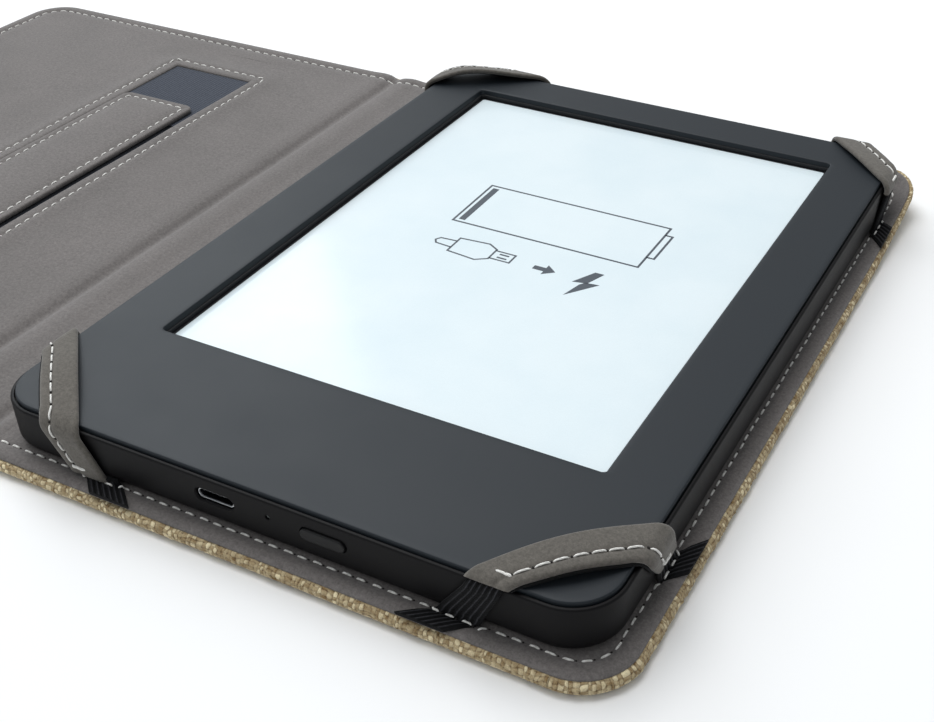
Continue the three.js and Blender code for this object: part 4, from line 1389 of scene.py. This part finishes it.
def make_display():
    """The pale display, and on it an empty battery, a plug, an arrow and a bolt."""
    margin = 1.0
    outline = Outline(SCREEN_LOW + margin, SCREEN_HIGH - margin, 0.6, 5, (30, 40))
    top = DISPLAY_TOP + 0.08
    profile = [(0, DISPLAY_TOP), (0, top - 0.03), (0.03, top)]
    film = piece("display_film", *loft([outline.at(inset, z) for inset, z in profile]), PAPER, "epaper")
    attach(film, "root")
    line, thin = 0.5, 0.42
    x0, x1, y0, y1 = -20.3, 23.4, 10.95, 28.75
    nub = [(x1, 15.4), (x1 + 1.7, 15.4), (x1 + 1.7, 25.6), (x1, 25.6)]
    battery = stroke(block(x0, y0, x1, y1), line, True) + stroke(nub, line, False)
    battery.append(block(x0 + 0.9, y0 + 1, x0 + 2.4, y1 - 1))
    body = [(-14.8, -0.9), (-8.0, -1.6), (-5.6, 0.0), (-5.6, 4.0), (-8.0, 5.4), (-14.8, 4.8)]
    lead = [(-14.8, 0.6), (-18.6, 0.9), (-19.3, 2.0), (-18.6, 3.1), (-14.8, 3.4)]
    tip = [(-5.6, 0.4), (-0.9, 0.4), (-0.9, 3.6), (-5.6, 3.6)]
    plug = stroke(body, thin, True) + stroke(lead, thin, False) + stroke(tip, thin, False)
    plug += [block(-4.2, 1.1, -2.0, 1.6), block(-4.2, 2.4, -2.0, 2.9)]
    arrow = [block(4.3, 0.7, 6.9, 2.1), [(6.9, -0.5), (9.3, 1.4), (6.9, 3.3)]]
    bolt = [[(13.8, -0.2), (16.9, 0.5), (18.6, 5.1), (16.6, 5.1)]]
    bolt += [[(14.4, -5.5), (19.4, 1.0), (16.4, 0.6), (15.6, -0.6)]]
    for name, shapes in (("battery", battery), ("plug", plug), ("arrow", arrow), ("bolt", bolt)):
        icon = piece(f"symbol_{name}", *prisms(shapes, top - 0.005, top + 0.02), INK, "epaper")
        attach(icon, "root")


def stroke(line, width, closed):
    """Quads of a drawn line with mitred corners."""
    line = np.array(line, float)
    n = len(line)
    left, right = [], []
    for i in range(n):
        before = line[i] - line[i - 1] if closed or i > 0 else line[1] - line[0]
        after = line[(i + 1) % n] - line[i] if closed or i < n - 1 else before
        if not closed and i == 0:
            before = after
        before, after = before / np.linalg.norm(before), after / np.linalg.norm(after)
        across = np.array([-(before + after)[1], (before + after)[0]])
        across /= np.linalg.norm(across)
        reach = width / 2 / max(0.3, across @ np.array([-before[1], before[0]]))
        left.append(line[i] + across * reach)
        right.append(line[i] - across * reach)
    last = n if closed else n - 1
    return [[right[i], right[(i + 1) % n], left[(i + 1) % n], left[i]] for i in range(last)]


def prisms(shapes, z0, z1):
    """Points and faces of flat shapes that stand between two heights."""
    points, faces = [], []
    for shape in shapes:
        shape = np.array(shape, float)
        following = np.roll(shape, -1, 0)
        if (shape[:, 0] * following[:, 1] - following[:, 0] * shape[:, 1]).sum() < 0:
            shape = shape[::-1]
        n, start = len(shape), sum(len(p) for p in points)
        points += [np.column_stack([shape, np.full(n, z)]) for z in (z0, z1)]
        faces += [[v + start for v in face] for face in ring_faces(2, n)]
    return np.vstack(points), faces


# The stage.


FLOOR_HALF = 6.0
FLOOR_HEIGHT = -0.0002
WORLD_DIM, WORLD_BRIGHT = 0.3, 0.75


def make_stage():
    """A white floor, a pale world that is brighter on the left, and two square lights."""
    mesh = bpy.data.meshes.new("floor")
    corners = block(-FLOOR_HALF, -FLOOR_HALF, FLOOR_HALF, FLOOR_HALF)
    mesh.from_pydata([(x, y, 0) for x, y in corners], [], [(0, 1, 2, 3)])
    floor = bpy.data.objects.new("floor", mesh)
    bpy.context.scene.collection.objects.link(floor)
    s = Shader("floor_white", Roughness=0.9, Specular_IOR_Level=0.1)
    grain = s.noise(s.object_place(), 0.02, 2.0)
    mesh.materials.append(s.set(Base_Color=s.shade(grain, (0.9, 0.9, 0.9, 1), 0.995, 1.005)))
    floor.location.z = FLOOR_HEIGHT

    world = bpy.data.worlds.new("studio")
    bpy.context.scene.world = world
    world.use_nodes = True
    nodes, links = world.node_tree.nodes, world.node_tree.links
    background = nodes["Background"]
    direction = nodes.new("ShaderNodeTexCoord").outputs["Generated"]
    split = nodes.new("ShaderNodeSeparateXYZ")
    links.new(direction, split.inputs[0])
    ramp = nodes.new("ShaderNodeMapRange")
    ramp.inputs["From Min"].default_value, ramp.inputs["From Max"].default_value = -0.9, 0.9
    ramp.inputs["To Min"].default_value, ramp.inputs["To Max"].default_value = WORLD_BRIGHT, WORLD_DIM
    links.new(split.outputs[0], ramp.inputs["Value"])
    links.new(ramp.outputs[0], background.inputs["Strength"])
    background.inputs["Color"].default_value = (0.93, 0.97, 1.0, 1)

    def softbox(name, place, target, size, power, colour=(1, 1, 1)):
        light = bpy.data.lights.new(name, "AREA")
        light.shape, light.size, light.energy, light.color = "SQUARE", size, power, colour
        obj = bpy.data.objects.new(name, light)
        bpy.context.scene.collection.objects.link(obj)
        obj.location = place
        obj.rotation_mode = "QUATERNION"
        obj.rotation_quaternion = (Vector(target) - Vector(place)).to_track_quat("-Z", "Y")

    softbox("key", (-1.15, 0.75, 0.95), (-0.05, 0, 0), 0.9, 8.5, (0.9, 0.96, 1.0))
    softbox("high", (-0.55, 0.4, 1.6), (-0.05, 0, 0), 1.3, 20)


LENS = 50.68
SHIFT = (-0.0763, 0.0123)
EYE = (0.11062, -0.20406, 0.15060)
AZIMUTH, ELEVATION = math.radians(27.115), math.radians(35.692)


def make_camera():
    """The view from the front right, looking down at the e-reader."""
    data = bpy.data.cameras.new("camera")
    camera = bpy.data.objects.new("camera", data)
    bpy.context.scene.collection.objects.link(camera)
    data.sensor_width = 36
    data.lens = LENS
    data.shift_x, data.shift_y = SHIFT
    data.clip_start, data.clip_end = 0.01, 20
    level = math.cos(ELEVATION)
    forward = Vector((-math.sin(AZIMUTH) * level, math.cos(AZIMUTH) * level, -math.sin(ELEVATION)))
    camera.location = EYE
    camera.rotation_mode = "QUATERNION"
    camera.rotation_quaternion = forward.to_track_quat("-Z", "Y")
    bpy.context.scene.camera = camera
    bpy.context.scene.view_settings.view_transform = "Standard"


make_camera()
make_stage()
paint_cad_nodes()
make_burlap()
make_back_board()
make_lining()
make_cover_stitching()
make_hand_strap()
make_window()
for key in CORNERS:
    make_corner_band(key)
    make_corner_elastics(key)
make_shell()
make_bezel()
make_bottom_edge()
make_display()
